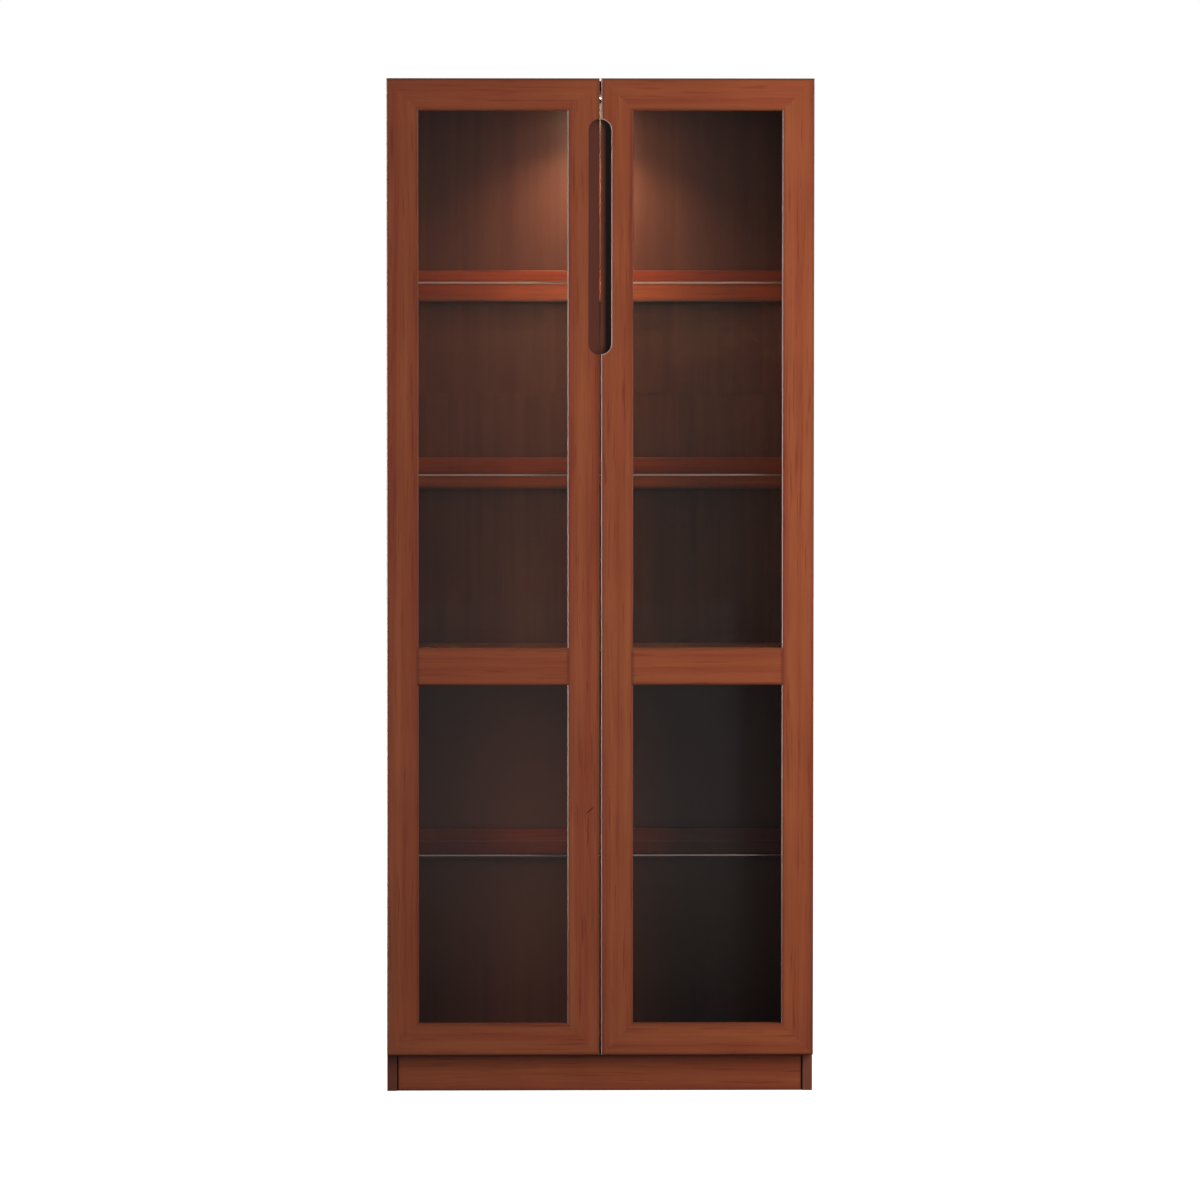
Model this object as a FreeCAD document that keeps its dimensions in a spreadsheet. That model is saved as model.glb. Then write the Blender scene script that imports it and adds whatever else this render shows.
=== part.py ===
"""A tall bookcase with two glazed doors, five shelf bays and a small lamp under its top panel.

Millimetres. X runs across the front, Y from the front to the back and Z up from the floor. The
origin is the middle of the footprint, on the floor.
"""

import FreeCAD, Part
import math
import os
import re

import Sketcher
from FreeCAD import Placement, Rotation, Vector

SIZES = {
    # overall
    "width": 800,
    "depth": 350,
    "height": 1900,
    # carcass
    "board": 18,
    "board_ease": 1,
    "top_reveal": 4,
    "plinth_height": 70,
    "plinth_recess": 3,
    "back_sheet": 5,
    "back_setback": 16,
    "groove_depth": 7,
    "groove_play": 0.2,
    "back_seam": 1310,
    "seam_gap": 1.5,
    "seam_lap": 6,
    "fixed_shelf_rise": 44,
    "back_rail_height": 60,
    "stiffener_height": 40,
    # doors
    "door_thickness": 22,
    "door_gap": 2,
    "centre_gap": 3,
    "frame_width": 60,
    "mid_rail_width": 70,
    "mid_rail_bottom": 766,
    "edge_round": 3,
    "meeting_round": 1.5,
    "glass_lip": 8,
    "pane": 5,
    "rebate": 10,
    "pane_play": 1.5,
    "bead_bevel": 4,
    "bumper_radius": 4,
    "bumper_inset": 25,
    "soft_gap": 0.3,
    # finger pull across the meeting stiles
    "pull_width": 41,
    "pull_length": 438,
    "pull_bottom": 1385,
    "pull_depth": 15,
    # glass shelves and their supports
    "lower_shelf": 439,
    "middle_shelf": 1156,
    "upper_shelf": 1517,
    "shelf_glass": 6,
    "shelf_arris": 0.8,
    "shelf_setback": 25,
    "shelf_play": 2,
    "shelf_corner": 4,
    "support_radius": 2.5,
    "support_depth": 8,
    "support_plate": 2.5,
    "support_reach": 11,
    "support_drop": 12,
    "support_breadth": 9,
    "support_inset": 40,
    "hole_pitch": 32,
    # dowels, cams and bolts
    "dowel_radius": 4,
    "dowel_length": 30,
    "dowel_chamfer": 1,
    "dowel_relief": 1,
    "dowel_in_side": 12,
    "dowel_edge": 92,
    "corner_dowel_near": 20,
    "corner_dowel_far": 35,
    "fit": 0.1,
    "cam_radius": 7.5,
    "cam_height": 12.5,
    "cam_reach": 34,
    "cam_edge": 60,
    "cam_slot": 7.6,
    "bolt_radius": 2.8,
    "bolt_head": 3.2,
    "bolt_thread": 2.5,
    "bolt_bite": 11,
    # concealed hinges
    "hinge_inset": 100,
    "cup_inset": 22.5,
    "cup_radius": 17.5,
    "cup_depth": 11.5,
    "cup_wall": 1.2,
    "flange": 1.2,
    "flange_length": 60,
    "flange_width": 40,
    "cup_screw_offset": 9.5,
    "cup_screw_pitch": 45,
    "cup_screw_length": 10,
    "small_screw": 1.75,
    "small_screw_head": 3.3,
    "screw_head_height": 1.2,
    "plate_setback": 37,
    "plate_length": 46,
    "plate_breadth": 8,
    "plate_base": 3,
    "wing_length": 48,
    "wing_breadth": 15,
    "wing_round": 4,
    "plate_screw": 2.5,
    "plate_screw_head": 4.2,
    "plate_screw_pitch": 32,
    "arm_breadth": 11,
    "arm_wall": 1.2,
    "arm_low": 10.5,
    "arm_tail": 62,
    "arm_screw_back": 8,
    "arm_screw_length": 8,
    "tip_side": 15,
    "tip_radius": 3,
    "pivot_radius": 1.5,
    "link_eye": 2.6,
    "link_thickness": 2.6,
    "link_reach": 20.8,
    "link_hook": 4.4,
    "link_bend": 2.8,
    # lamp
    "lamp_radius": 30,
    "lamp_height": 5,
    "lamp_wall": 2.5,
    "lamp_round": 1,
    "lamp_roof": 1,
    "lamp_back": 25,
    "lens": 1.2,
    "lamp_board_radius": 16,
    "lamp_board": 0.8,
    "lamp_screw_ring": 21,
    "lamp_screw_length": 12,
}

HINGES_PER_DOOR = 4
SIDES = {"left": -1, "right": 1}

# Places that several pieces share, as expressions of the sizes above
DOOR_FRONT = "(-depth / 2)"
DOOR_BACK = "(-depth / 2 + door_thickness)"
DOOR_HEIGHT = "(height - plinth_height)"
DOOR_WIDTH = "(width / 2 - centre_gap / 2)"
CARCASS_FRONT = "(-depth / 2 + door_thickness + door_gap)"
CARCASS_DEPTH = "(depth - door_thickness - door_gap)"
CARCASS_TOP = "(height - top_reveal)"
INNER = "(width / 2 - board)"
SHEET_BACK = "(depth / 2 - back_setback)"
SHEET_FRONT = "(depth / 2 - back_setback - back_sheet)"
RAIL_FRONT = "(depth / 2 - back_setback - back_sheet - board)"
MID_RAIL_LOW = "(mid_rail_bottom - plinth_height)"
MID_RAIL_HIGH = "(mid_rail_bottom - plinth_height + mid_rail_width)"
FIXED_SHELF = "(mid_rail_bottom + fixed_shelf_rise)"
STILE_HOUSING = "edge_round"
MID_RAIL_ENDS = (
    f"(frame_width - {STILE_HOUSING})", f"({DOOR_WIDTH} - frame_width + {STILE_HOUSING})"
)
ARM_HIGH = "(tip_side + link_eye + soft_gap + arm_wall)"
TIP_FORWARD = "(door_gap + cup_depth - cup_wall - soft_gap - tip_radius)"
OPENINGS = {
    "lower": ("frame_width", MID_RAIL_LOW),
    "upper": (MID_RAIL_HIGH, f"({DOOR_HEIGHT} - frame_width)"),
}
GLASS_SHELVES = {"lower": "lower_shelf", "middle": "middle_shelf", "upper": "upper_shelf"}

SIZE_WORD = re.compile(r"\b(" + "|".join(SIZES) + r")\b")

doc = FreeCAD.newDocument("GlazedBookcase")
sheet = doc.addObject("Spreadsheet::Sheet", "Sizes")
nodes = []


# ---------------------------------------------------------------- sheet and expressions


def fill_sheet():
    for row, (name, number) in enumerate(SIZES.items(), 1):
        sheet.set(f"A{row}", name)
        sheet.set(f"B{row}", str(number))
        sheet.setAlias(f"B{row}", name)
    doc.recompute()


def in_sheet(text):
    """The expression with each size name turned into a reference to the sheet."""
    return SIZE_WORD.sub(r"Sizes.\1", str(text))


def value(text):
    return float(sheet.evalExpression(in_sheet(text)))


def bind(thing, **expressions):
    """Binds properties, with __ standing for the dot in a property's path."""
    for name, text in expressions.items():
        thing.setExpression(name.replace("__", "."), in_sheet(text))


def place(thing, x="0", y="0", z="0", turn=None):
    if turn is not None:
        thing.Placement = Placement(Vector(), turn)
    bind(thing, Placement__Base__x=x, Placement__Base__y=y, Placement__Base__z=z)


def about_y(degrees):
    return Rotation(Vector(0, 1, 0), degrees)


# ---------------------------------------------------------------- sketches


def sketch_on(body, role, lift="0"):
    sketch = body.newObject("Sketcher::SketchObject", f"{body.Name}_sketch")
    plane = next(item for item in body.Origin.OriginFeatures if item.Role == role)
    sketch.AttachmentSupport = [(plane, "")]
    sketch.MapMode = "FlatFace"
    bind(sketch, AttachmentOffset__Base__z=lift)
    return sketch


def constrain(sketch, constraint, text):
    index = sketch.addConstraint(constraint)
    sketch.setExpression(f"Constraints[{index}]", in_sheet(text))


def pin(sketch, item, point, x, y):
    for kind, text in (("DistanceX", x), ("DistanceY", y)):
        constrain(sketch, Sketcher.Constraint(kind, -1, 1, item, point, value(text)), text)


def add_polygon(sketch, points):
    """A closed outline through corners given as pairs of expressions."""
    corners = [Vector(value(x), value(y), 0) for x, y in points]
    ends = corners[1:] + corners[:1]
    lines = sketch.addGeometry([Part.LineSegment(a, b) for a, b in zip(corners, ends)])
    for line, following in zip(lines, lines[1:] + lines[:1]):
        sketch.addConstraint(Sketcher.Constraint("Coincident", line, 2, following, 1))
    for line, (x, y) in zip(lines, points):
        pin(sketch, line, 1, x, y)


def add_rectangle(sketch, x0, y0, x1, y1):
    add_polygon(sketch, [(x0, y0), (x1, y0), (x1, y1), (x0, y1)])


def add_circle(sketch, x, y, radius):
    circle = Part.Circle(Vector(value(x), value(y), 0), Vector(0, 0, 1), value(radius))
    item = sketch.addGeometry(circle)
    pin(sketch, item, 3, x, y)
    constrain(sketch, Sketcher.Constraint("Radius", item, value(radius)), radius)


def add_cross(sketch, arm, half):
    """A cross about the origin, from the length and half the width of its arms."""
    add_polygon(sketch, [
        (f"-{arm}", f"-{half}"), (f"-{half}", f"-{half}"), (f"-{half}", f"-{arm}"),
        (half, f"-{arm}"), (half, f"-{half}"), (arm, f"-{half}"),
        (arm, half), (half, half), (half, arm),
        (f"-{half}", arm), (f"-{half}", half), (f"-{arm}", half),
    ])


def add_stadium(sketch, x, low, high, radius):
    """An upright slot with round ends, between the two end centres."""
    centre_low = Vector(value(x), value(low), 0)
    centre_high = Vector(value(x), value(high), 0)
    reach = Vector(value(radius), 0, 0)
    upward = Vector(0, 0, 1)
    round_high = Part.Circle(centre_high, upward, value(radius))
    round_low = Part.Circle(centre_low, upward, value(radius))
    top, left, bottom, right = sketch.addGeometry([
        Part.ArcOfCircle(round_high, 0, math.pi),
        Part.LineSegment(centre_high - reach, centre_low - reach),
        Part.ArcOfCircle(round_low, math.pi, 2 * math.pi),
        Part.LineSegment(centre_low + reach, centre_high + reach),
    ])
    for item, following in ((top, left), (left, bottom), (bottom, right), (right, top)):
        sketch.addConstraint(Sketcher.Constraint("Tangent", item, 2, following, 1))
    pin(sketch, top, 3, x, high)
    pin(sketch, bottom, 3, x, low)
    sketch.addConstraint(Sketcher.Constraint("Equal", top, bottom))
    constrain(sketch, Sketcher.Constraint("Radius", top, value(radius)), radius)


# ---------------------------------------------------------------- features


def new_body(label, x="0", y="0", z="0"):
    body = doc.addObject("PartDesign::Body", label)
    body.Label = label
    place(body, x, y, z)
    return body


def pad(body, sketch, length, reverse=False, both_ways=False):
    feature = body.newObject("PartDesign::Pad", f"{body.Name}_pad")
    feature.Profile = sketch
    feature.Reversed = reverse
    feature.Midplane = both_ways
    bind(feature, Length=length)
    return feature


def pocket(body, sketch, depth, reverse=False, both_ways=False):
    feature = body.newObject("PartDesign::Pocket", f"{body.Name}_pocket")
    feature.Profile = sketch
    feature.Reversed = reverse
    feature.Midplane = both_ways
    bind(feature, Length=depth)
    return feature


def revolve(body, sketch, axis="V_Axis"):
    feature = body.newObject("PartDesign::Revolution", f"{body.Name}_turned")
    feature.Profile = sketch
    feature.ReferenceAxis = (sketch, [axis])
    feature.Angle = 360
    return feature


def mirror(body, feature, role):
    plane = next(item for item in body.Origin.OriginFeatures if item.Role == role)
    copy = body.newObject("PartDesign::Mirrored", f"{body.Name}_mirrored")
    copy.Originals = [feature]
    copy.MirrorPlane = (plane, [""])
    body.Tip = copy
    return copy


def repeat(body, features, sketch, length, count):
    """Copies of features spread evenly over a length along the sketch's upright axis."""
    copy = body.newObject("PartDesign::LinearPattern", f"{body.Name}_row")
    copy.Originals = features
    copy.Direction = (sketch, ["V_Axis"])
    copy.Occurrences = count
    bind(copy, Length=length)
    body.Tip = copy
    return copy


def dress(body, kind, amount, test):
    """A fillet or chamfer on the edges that pass the test."""
    doc.recompute()
    base = body.Tip
    edges = [f"Edge{n}" for n, edge in enumerate(base.Shape.Edges, 1) if test(edge)]
    feature = body.newObject(f"PartDesign::{kind}", f"{body.Name}_{kind.lower()}")
    feature.Base = (base, edges)
    bind(feature, **{"Radius" if kind == "Fillet" else "Size": amount})
    return feature


def bore(body, x, y, z, turn, radius, length):
    """A round hole starting at a point of the body and running along the turned Z axis."""
    hole = body.newObject("PartDesign::SubtractiveCylinder", f"{body.Name}_bore")
    place(hole, x, y, z, turn)
    bind(hole, Radius=radius, Height=length)
    return hole


def box(label, x, y, z, length, width, height):
    block = doc.addObject("Part::Box", label)
    block.Label = label
    place(block, x, y, z)
    bind(block, Length=length, Width=width, Height=height)
    return block


def peg(label, x, y, z, turn, radius, length):
    rod = doc.addObject("Part::Cylinder", label)
    place(rod, x, y, z, turn)
    bind(rod, Radius=radius, Height=length)
    return rod


def copy_of(master, x, y, z, turn=None):
    link = doc.addObject("App::Link", f"{master.Name}_copy")
    link.LinkedObject = master
    place(link, x, y, z, turn)
    return link


def keep(piece):
    """Lists a finished sub-part, whose label is also its file's name."""
    nodes.append(piece)
    return piece


def keep_group(label, members):
    group = doc.addObject("Part::Compound", label)
    group.Label = label
    group.Links = members
    return keep(group)


def on_plane(number, other):
    return abs(number - other) < 0.01


def edge_direction(edge):
    first, last = edge.Vertexes[0].Point, edge.Vertexes[-1].Point
    return first.sub(last)


def runs_along(edge, axis):
    """Whether a straight edge runs along one axis, 0 to 2."""
    if len(edge.Vertexes) < 2:
        return False
    span = edge_direction(edge)
    return all(abs(span[other]) < 0.01 for other in range(3) if other != axis)


# ---------------------------------------------------------------- carcass


def rail_dowels(bottom, height):
    """The two dowel heights in the end of an upright board."""
    return [f"({bottom} + {height} / 4)", f"({bottom} + 3 * {height} / 4)"]


class Board:
    """A board across the carcass: the front and bottom of its section, and its size."""

    def __init__(self, front, depth, bottom, height, cams=False):
        self.front, self.depth, self.bottom, self.height = front, depth, bottom, height
        self.cams = cams

    def dowel_spots(self):
        if self.cams:
            middle = f"({self.bottom} + board / 2)"
            return [
                (f"({self.front} + dowel_edge)", middle),
                (f"({self.front} + {self.depth} - dowel_edge)", middle),
            ]
        middle = f"({self.front} + {self.depth} / 2)"
        return [(middle, level) for level in rail_dowels(self.bottom, self.height)]

    def cam_spots(self):
        if not self.cams:
            return []
        return [f"({self.front} + cam_edge)", f"({self.front} + {self.depth} - cam_edge)"]


BOARDS = {
    "top_panel": Board(CARCASS_FRONT, CARCASS_DEPTH, f"({CARCASS_TOP} - board)", "board", True),
    "bottom_panel": Board(CARCASS_FRONT, CARCASS_DEPTH, "plinth_height", "board", True),
    "fixed_shelf": Board(
        CARCASS_FRONT, f"({SHEET_FRONT} - {CARCASS_FRONT})", FIXED_SHELF, "board", True
    ),
    "plinth_front": Board(f"({CARCASS_FRONT} + plinth_recess)", "board", "0", "plinth_height"),
    "plinth_rear": Board("(depth / 2 - board)", "board", "0", "plinth_height"),
    "back_rail_upper": Board(
        RAIL_FRONT, "board", "(upper_shelf - back_rail_height / 2)", "back_rail_height"
    ),
    "back_rail_middle": Board(
        RAIL_FRONT, "board", "(middle_shelf - back_rail_height / 2)", "back_rail_height"
    ),
    "back_rail_lower": Board(
        RAIL_FRONT, "board", "(lower_shelf - back_rail_height / 2)", "back_rail_height"
    ),
    "fixed_shelf_stiffener": Board(
        RAIL_FRONT, "board", f"({FIXED_SHELF} - stiffener_height)", "stiffener_height"
    ),
}

# The side of a board that the back sheet's groove is cut in
GROOVED = {"top_panel": "low", "bottom_panel": "high"}


def board_section(name, board):
    """The board's section with its lower front corner at zero, as (y, z) corners."""
    deep, high = board.depth, board.height
    if name not in GROOVED:
        return [("0", "0"), (deep, "0"), (deep, high), ("0", high)]
    front = f"({SHEET_FRONT} - {board.front} - groove_play / 2)"
    back = f"({SHEET_BACK} - {board.front} + groove_play / 2)"
    if GROOVED[name] == "low":
        notch = [(front, "0"), (front, "groove_depth"), (back, "groove_depth"), (back, "0")]
        return [("0", "0"), *notch, (deep, "0"), (deep, high), ("0", high)]
    floor = f"({high} - groove_depth)"
    notch = [(back, high), (back, floor), (front, floor), (front, high)]
    return [("0", "0"), (deep, "0"), (deep, high), *notch, ("0", high)]


def ease_front(body, axis, front):
    """Takes the sharpness off the front edges that run along an axis."""
    level = value(front)
    dress(
        body, "Fillet", "board_ease",
        lambda edge: runs_along(edge, axis) and on_plane(edge.CenterOfMass.y, level),
    )


def cross_board(name, board):
    """A board between the sides, with its dowel bores and, on a panel, its cam bores."""
    body = new_body(name, y=board.front, z=board.bottom)
    section = sketch_on(body, "YZ_Plane")
    add_polygon(section, board_section(name, board))
    pad(body, section, f"2 * {INNER}", both_ways=True)

    ends = sketch_on(body, "YZ_Plane", lift=INNER)
    for y, z in board.dowel_spots():
        add_circle(ends, f"{y} - {board.front}", f"{z} - {board.bottom}", "dowel_radius + fit")
    mirror(body, pocket(body, ends, "dowel_length - dowel_in_side + dowel_relief"), "YZ_Plane")

    if board.cams:
        throats = sketch_on(body, "YZ_Plane", lift=INNER)
        for y in board.cam_spots():
            add_circle(throats, f"{y} - {board.front}", "board / 2", "cam_slot / 2")
        mirror(body, pocket(body, throats, "cam_reach"), "YZ_Plane")
        seats = sketch_on(body, "XY_Plane")
        for y in board.cam_spots():
            add_circle(seats, f"{INNER} - cam_reach", f"{y} - {board.front}", "cam_radius + fit")
        mirror(body, pocket(body, seats, "cam_height + fit", reverse=True), "YZ_Plane")
    ease_front(body, 0, "0")
    return keep(body)


def lamp_panel(body):
    """Pilot holes in the underside of the top panel for the lamp's two screws."""
    pilots = sketch_on(body, "XY_Plane")
    for sign in (-1, 1):
        add_circle(
            pilots, f"{sign} * lamp_screw_ring", f"lamp_back - {CARCASS_FRONT}", "small_screw"
        )
    pocket(body, pilots, "lamp_screw_length", reverse=True)


def hinge_heights():
    """Heights of one door's hinge centres above the floor."""
    spread = f"({DOOR_HEIGHT} - 2 * hinge_inset) / {HINGES_PER_DOOR - 1}"
    return [
        f"(plinth_height + hinge_inset + {number} * {spread})" for number in range(HINGES_PER_DOOR)
    ]


def support_depths():
    """Distances from the front to the pairs of holes for the shelf supports."""
    return [
        f"({CARCASS_FRONT} + shelf_setback + support_inset)",
        f"({RAIL_FRONT} - support_inset)",
    ]


def support_height(shelf):
    """Height of the axis of a support's pin, under its plate."""
    return f"({GLASS_SHELVES[shelf]} - support_drop / 2)"


def side_panel(side):
    """A side with every bore and groove cut into its inner face."""
    sign = SIDES[side]
    outward = sign > 0
    body = new_body(f"side_panel_{side}", x=f"{sign} * {INNER}")
    outline = sketch_on(body, "YZ_Plane")
    add_rectangle(outline, CARCASS_FRONT, "0", "depth / 2", CARCASS_TOP)
    pad(body, outline, "board", reverse=not outward)

    groove = sketch_on(body, "YZ_Plane")
    add_rectangle(
        groove,
        f"{SHEET_FRONT} - groove_play / 2",
        "plinth_height + board - groove_depth",
        f"{SHEET_BACK} + groove_play / 2",
        f"{CARCASS_TOP} - board + groove_depth",
    )
    pocket(body, groove, "groove_depth", reverse=outward)

    dowels = sketch_on(body, "YZ_Plane")
    bolts = sketch_on(body, "YZ_Plane")
    for board in BOARDS.values():
        for y, z in board.dowel_spots():
            add_circle(dowels, y, z, "dowel_radius + fit")
        for y in board.cam_spots():
            add_circle(bolts, y, f"{board.bottom} + board / 2", "bolt_thread")
    pocket(body, dowels, "dowel_in_side + dowel_relief", reverse=outward)
    pocket(body, bolts, "bolt_bite", reverse=outward)

    holes = sketch_on(body, "YZ_Plane")
    for shelf in GLASS_SHELVES:
        for y in support_depths():
            for step in (-1, 0, 1):
                level = f"{support_height(shelf)} + {step} * hole_pitch"
                add_circle(holes, y, level, "support_radius + fit / 2")
    pocket(body, holes, "support_depth + dowel_relief", reverse=outward)

    screws = sketch_on(body, "YZ_Plane")
    for height in hinge_heights():
        for half in (-1, 1):
            level = f"{height} + {half} * plate_screw_pitch / 2"
            add_circle(screws, f"{CARCASS_FRONT} + plate_setback", level, "plate_screw")
    pocket(body, screws, "bolt_bite", reverse=outward)
    ease_front(body, 2, CARCASS_FRONT)
    return keep(body)


def back_sheets():
    """The thin back, in two sheets that stand in the grooves and lap by half at the seam."""
    reach = "(groove_depth - groove_play)"
    low = f"plinth_height + board - {reach}"
    high = f"{CARCASS_TOP} - board + {reach}"
    half, whole = "back_sheet / 2", "back_sheet"
    lap = "back_seam + seam_lap"
    under_gap, over_gap = "back_seam - seam_gap / 2", "back_seam + seam_gap / 2"
    sections = {
        "lower": [("0", low), (whole, low), (whole, lap), (half, lap), (half, under_gap),
                  ("0", under_gap)],
        "upper": [("0", over_gap), (half, over_gap), (half, lap), (whole, lap), (whole, high),
                  ("0", high)],
    }
    for name, corners in sections.items():
        body = new_body(f"back_panel_{name}", y=SHEET_FRONT)
        section = sketch_on(body, "YZ_Plane")
        add_polygon(section, corners)
        pad(body, section, f"2 * ({INNER} + {reach})", both_ways=True)
        keep(body)


def dowel():
    """A dowel along Z from its lower end, chamfered at both ends."""
    body = new_body("dowel_master")
    half = sketch_on(body, "XZ_Plane")
    narrow = "dowel_radius - dowel_chamfer"
    add_polygon(half, [
        ("0", "0"), (narrow, "0"), ("dowel_radius", "dowel_chamfer"),
        ("dowel_radius", "dowel_length - dowel_chamfer"), (narrow, "dowel_length"),
        ("0", "dowel_length"),
    ])
    revolve(body, half)
    return body


def carcass_dowels():
    """Dowels between every cross board and the two sides, less deep in the thin sides."""
    starts = {
        "left": f"-{INNER} - dowel_in_side",
        "right": f"{INNER} - dowel_length + dowel_in_side",
    }
    members = []
    for board in BOARDS.values():
        for y, z in board.dowel_spots():
            for start in starts.values():
                members.append(copy_of(MASTERS["dowel"], start, y, z, about_y(90)))
    keep_group("carcass_dowels", members)


def cam_lock():
    """A cam in its bore: a barrel with a slot for the bolt's head and a cross on its face."""
    body = new_body("cam_master")
    barrel = sketch_on(body, "XY_Plane")
    add_circle(barrel, "0", "0", "cam_radius")
    pad(body, barrel, "cam_height")
    slot = sketch_on(body, "XY_Plane", lift="cam_height")
    add_rectangle(slot, "-cam_radius - 1", "-cam_slot / 2", "cam_slot / 2", "cam_slot / 2")
    pocket(body, slot, "cam_height - board / 2 + cam_slot / 2")
    cross = sketch_on(body, "XY_Plane")
    add_cross(cross, "cam_radius / 2", "cam_radius / 12")
    pocket(body, cross, "cam_height / 6", reverse=True)
    return body


def cam_bolt():
    """A bolt along X from the side's inner face, its head inside the cam."""
    body = new_body("bolt_master")
    half = sketch_on(body, "XZ_Plane")
    head = "(cam_reach + bolt_head)"
    neck = "(cam_reach - bolt_head)"
    add_polygon(half, [
        ("-bolt_bite", "0"), ("-bolt_bite", "bolt_thread"), ("0", "bolt_thread"),
        ("0", "bolt_head"), ("bolt_head / 2", "bolt_head"), ("bolt_head / 2", "bolt_radius"),
        (neck, "bolt_radius"), (neck, "bolt_head"), (head, "bolt_head"), (head, "0"),
    ])
    revolve(body, half, "H_Axis")
    return body


def cam_fittings():
    cam, bolt = cam_lock(), cam_bolt()
    cams, bolts = [], []
    for board in BOARDS.values():
        for y in board.cam_spots():
            for sign in SIDES.values():
                turn = about_y(0) if sign < 0 else Rotation(Vector(0, 0, 1), 180)
                cams.append(copy_of(
                    cam, f"{sign} * ({INNER} - cam_reach)", y, board.bottom, turn
                ))
                bolts.append(copy_of(
                    bolt, f"{sign} * {INNER}", y, f"{board.bottom} + board / 2", turn
                ))
    keep_group("cam_locks", cams)
    keep_group("cam_bolts", bolts)


# ---------------------------------------------------------------- glass shelves


def glass_shelf(name):
    """A glass shelf with rounded corners and ground edges."""
    body = new_body(
        f"glass_shelf_{name}", y=f"{CARCASS_FRONT} + shelf_setback", z=GLASS_SHELVES[name]
    )
    outline = sketch_on(body, "XY_Plane")
    half = f"({INNER} - shelf_play)"
    deep = f"({RAIL_FRONT} - {CARCASS_FRONT} - shelf_setback - shelf_play / 2)"
    add_rectangle(outline, f"-{half}", "0", half, deep)
    pad(body, outline, "shelf_glass")
    dress(body, "Fillet", "shelf_corner", lambda edge: runs_along(edge, 2))
    dress(
        body, "Chamfer", "shelf_arris",
        lambda edge: on_plane(edge.BoundBox.ZMin, edge.BoundBox.ZMax),
    )
    return keep(body)


def shelf_supports():
    """Plated pins: a plate under the glass, a web down the side and a pin into its hole."""
    body = new_body("support_master")
    profile = sketch_on(body, "XZ_Plane")
    add_polygon(profile, [
        ("0", "0"), ("support_reach", "0"), ("support_reach", "-support_plate"),
        ("support_plate", "-support_plate"), ("support_plate", "-support_drop"),
        ("0", "-support_drop"),
    ])
    pad(body, profile, "support_breadth", both_ways=True)
    dress(
        body, "Fillet", "support_plate / 2",
        lambda edge: runs_along(edge, 1) and on_plane(edge.CenterOfMass.x, value("support_plate"))
        and on_plane(edge.CenterOfMass.z, -value("support_plate")),
    )
    shank = sketch_on(body, "YZ_Plane")
    add_circle(shank, "0", "-support_drop / 2", "support_radius")
    pad(body, shank, "support_depth", reverse=True)

    members = []
    for shelf, underside in GLASS_SHELVES.items():
        for y in support_depths():
            for sign in SIDES.values():
                turn = about_y(0) if sign < 0 else Rotation(Vector(0, 0, 1), 180)
                members.append(copy_of(body, f"{sign} * {INNER}", y, underside, turn))
    keep_group("shelf_supports", members)


# ---------------------------------------------------------------- doors


def across(side, inboard):
    """The X of a point that lies a distance inboard of the door's hinge edge."""
    return f"{SIDES[side]} * (width / 2 - ({inboard}))"


def door_polygon(sketch, side, points):
    add_polygon(sketch, [(across(side, inboard), level) for inboard, level in points])


def cut_rebates(body, side, openings):
    """The steps behind the openings that take the panes and their beads."""
    sketch = sketch_on(body, "XZ_Plane")
    for name in openings:
        low, high = OPENINGS[name]
        near, far = "(frame_width - rebate)", f"({DOOR_WIDTH} - frame_width + rebate)"
        low, high = f"({low} - rebate)", f"({high} + rebate)"
        door_polygon(sketch, side, [(near, low), (far, low), (far, high), (near, high)])
    pocket(body, sketch, "door_thickness - glass_lip", reverse=True)


def corner_dowel_places(side, inboard, level):
    """Starts and turns of the two dowels that cross a mitre, which runs in from a corner."""
    from_hinge = inboard == "0"
    from_below = level == "0"
    inward = "" if from_hinge else f"{inboard} - "
    upward = "" if from_below else f"{level} - "
    rising = from_hinge != from_below
    lean = (1 if rising else -1) * -SIDES[side]
    reach = "(dowel_length / 2 * sqrt(0.5))"
    places = []
    for along in ("corner_dowel_near", "corner_dowel_far"):
        x = across(side, f"{inward}{along}")
        z = f"{upward}{along}"
        places.append((f"{x} - {lean} * {reach}", f"{z} - {reach}", about_y(lean * 45)))
    return places


def member(side, name, points, openings):
    """A frame member cut from its outline, with its rebates; its origin is at the door's foot."""
    body = new_body(f"{side}_door_{name}", y=DOOR_BACK, z="plinth_height")
    outline = sketch_on(body, "XZ_Plane")
    door_polygon(outline, side, points)
    pad(body, outline, "door_thickness")
    cut_rebates(body, side, openings)
    return body


def bore_corner(body, side, inboard, level):
    for x, z, turn in corner_dowel_places(side, inboard, level):
        bore(body, x, "-door_thickness / 2", z, turn, "dowel_radius + fit", "dowel_length")


def round_front(body, axis, radius, keep_off=()):
    """Rounds the front edges that run along an axis, but none at the listed X places."""
    front = -value("door_thickness")

    def wanted(edge):
        middle = edge.CenterOfMass
        if not runs_along(edge, axis) or not on_plane(middle.y, front):
            return False
        return not any(on_plane(middle.x, value(x)) for x in keep_off)

    dress(body, "Fillet", radius, wanted)


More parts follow.
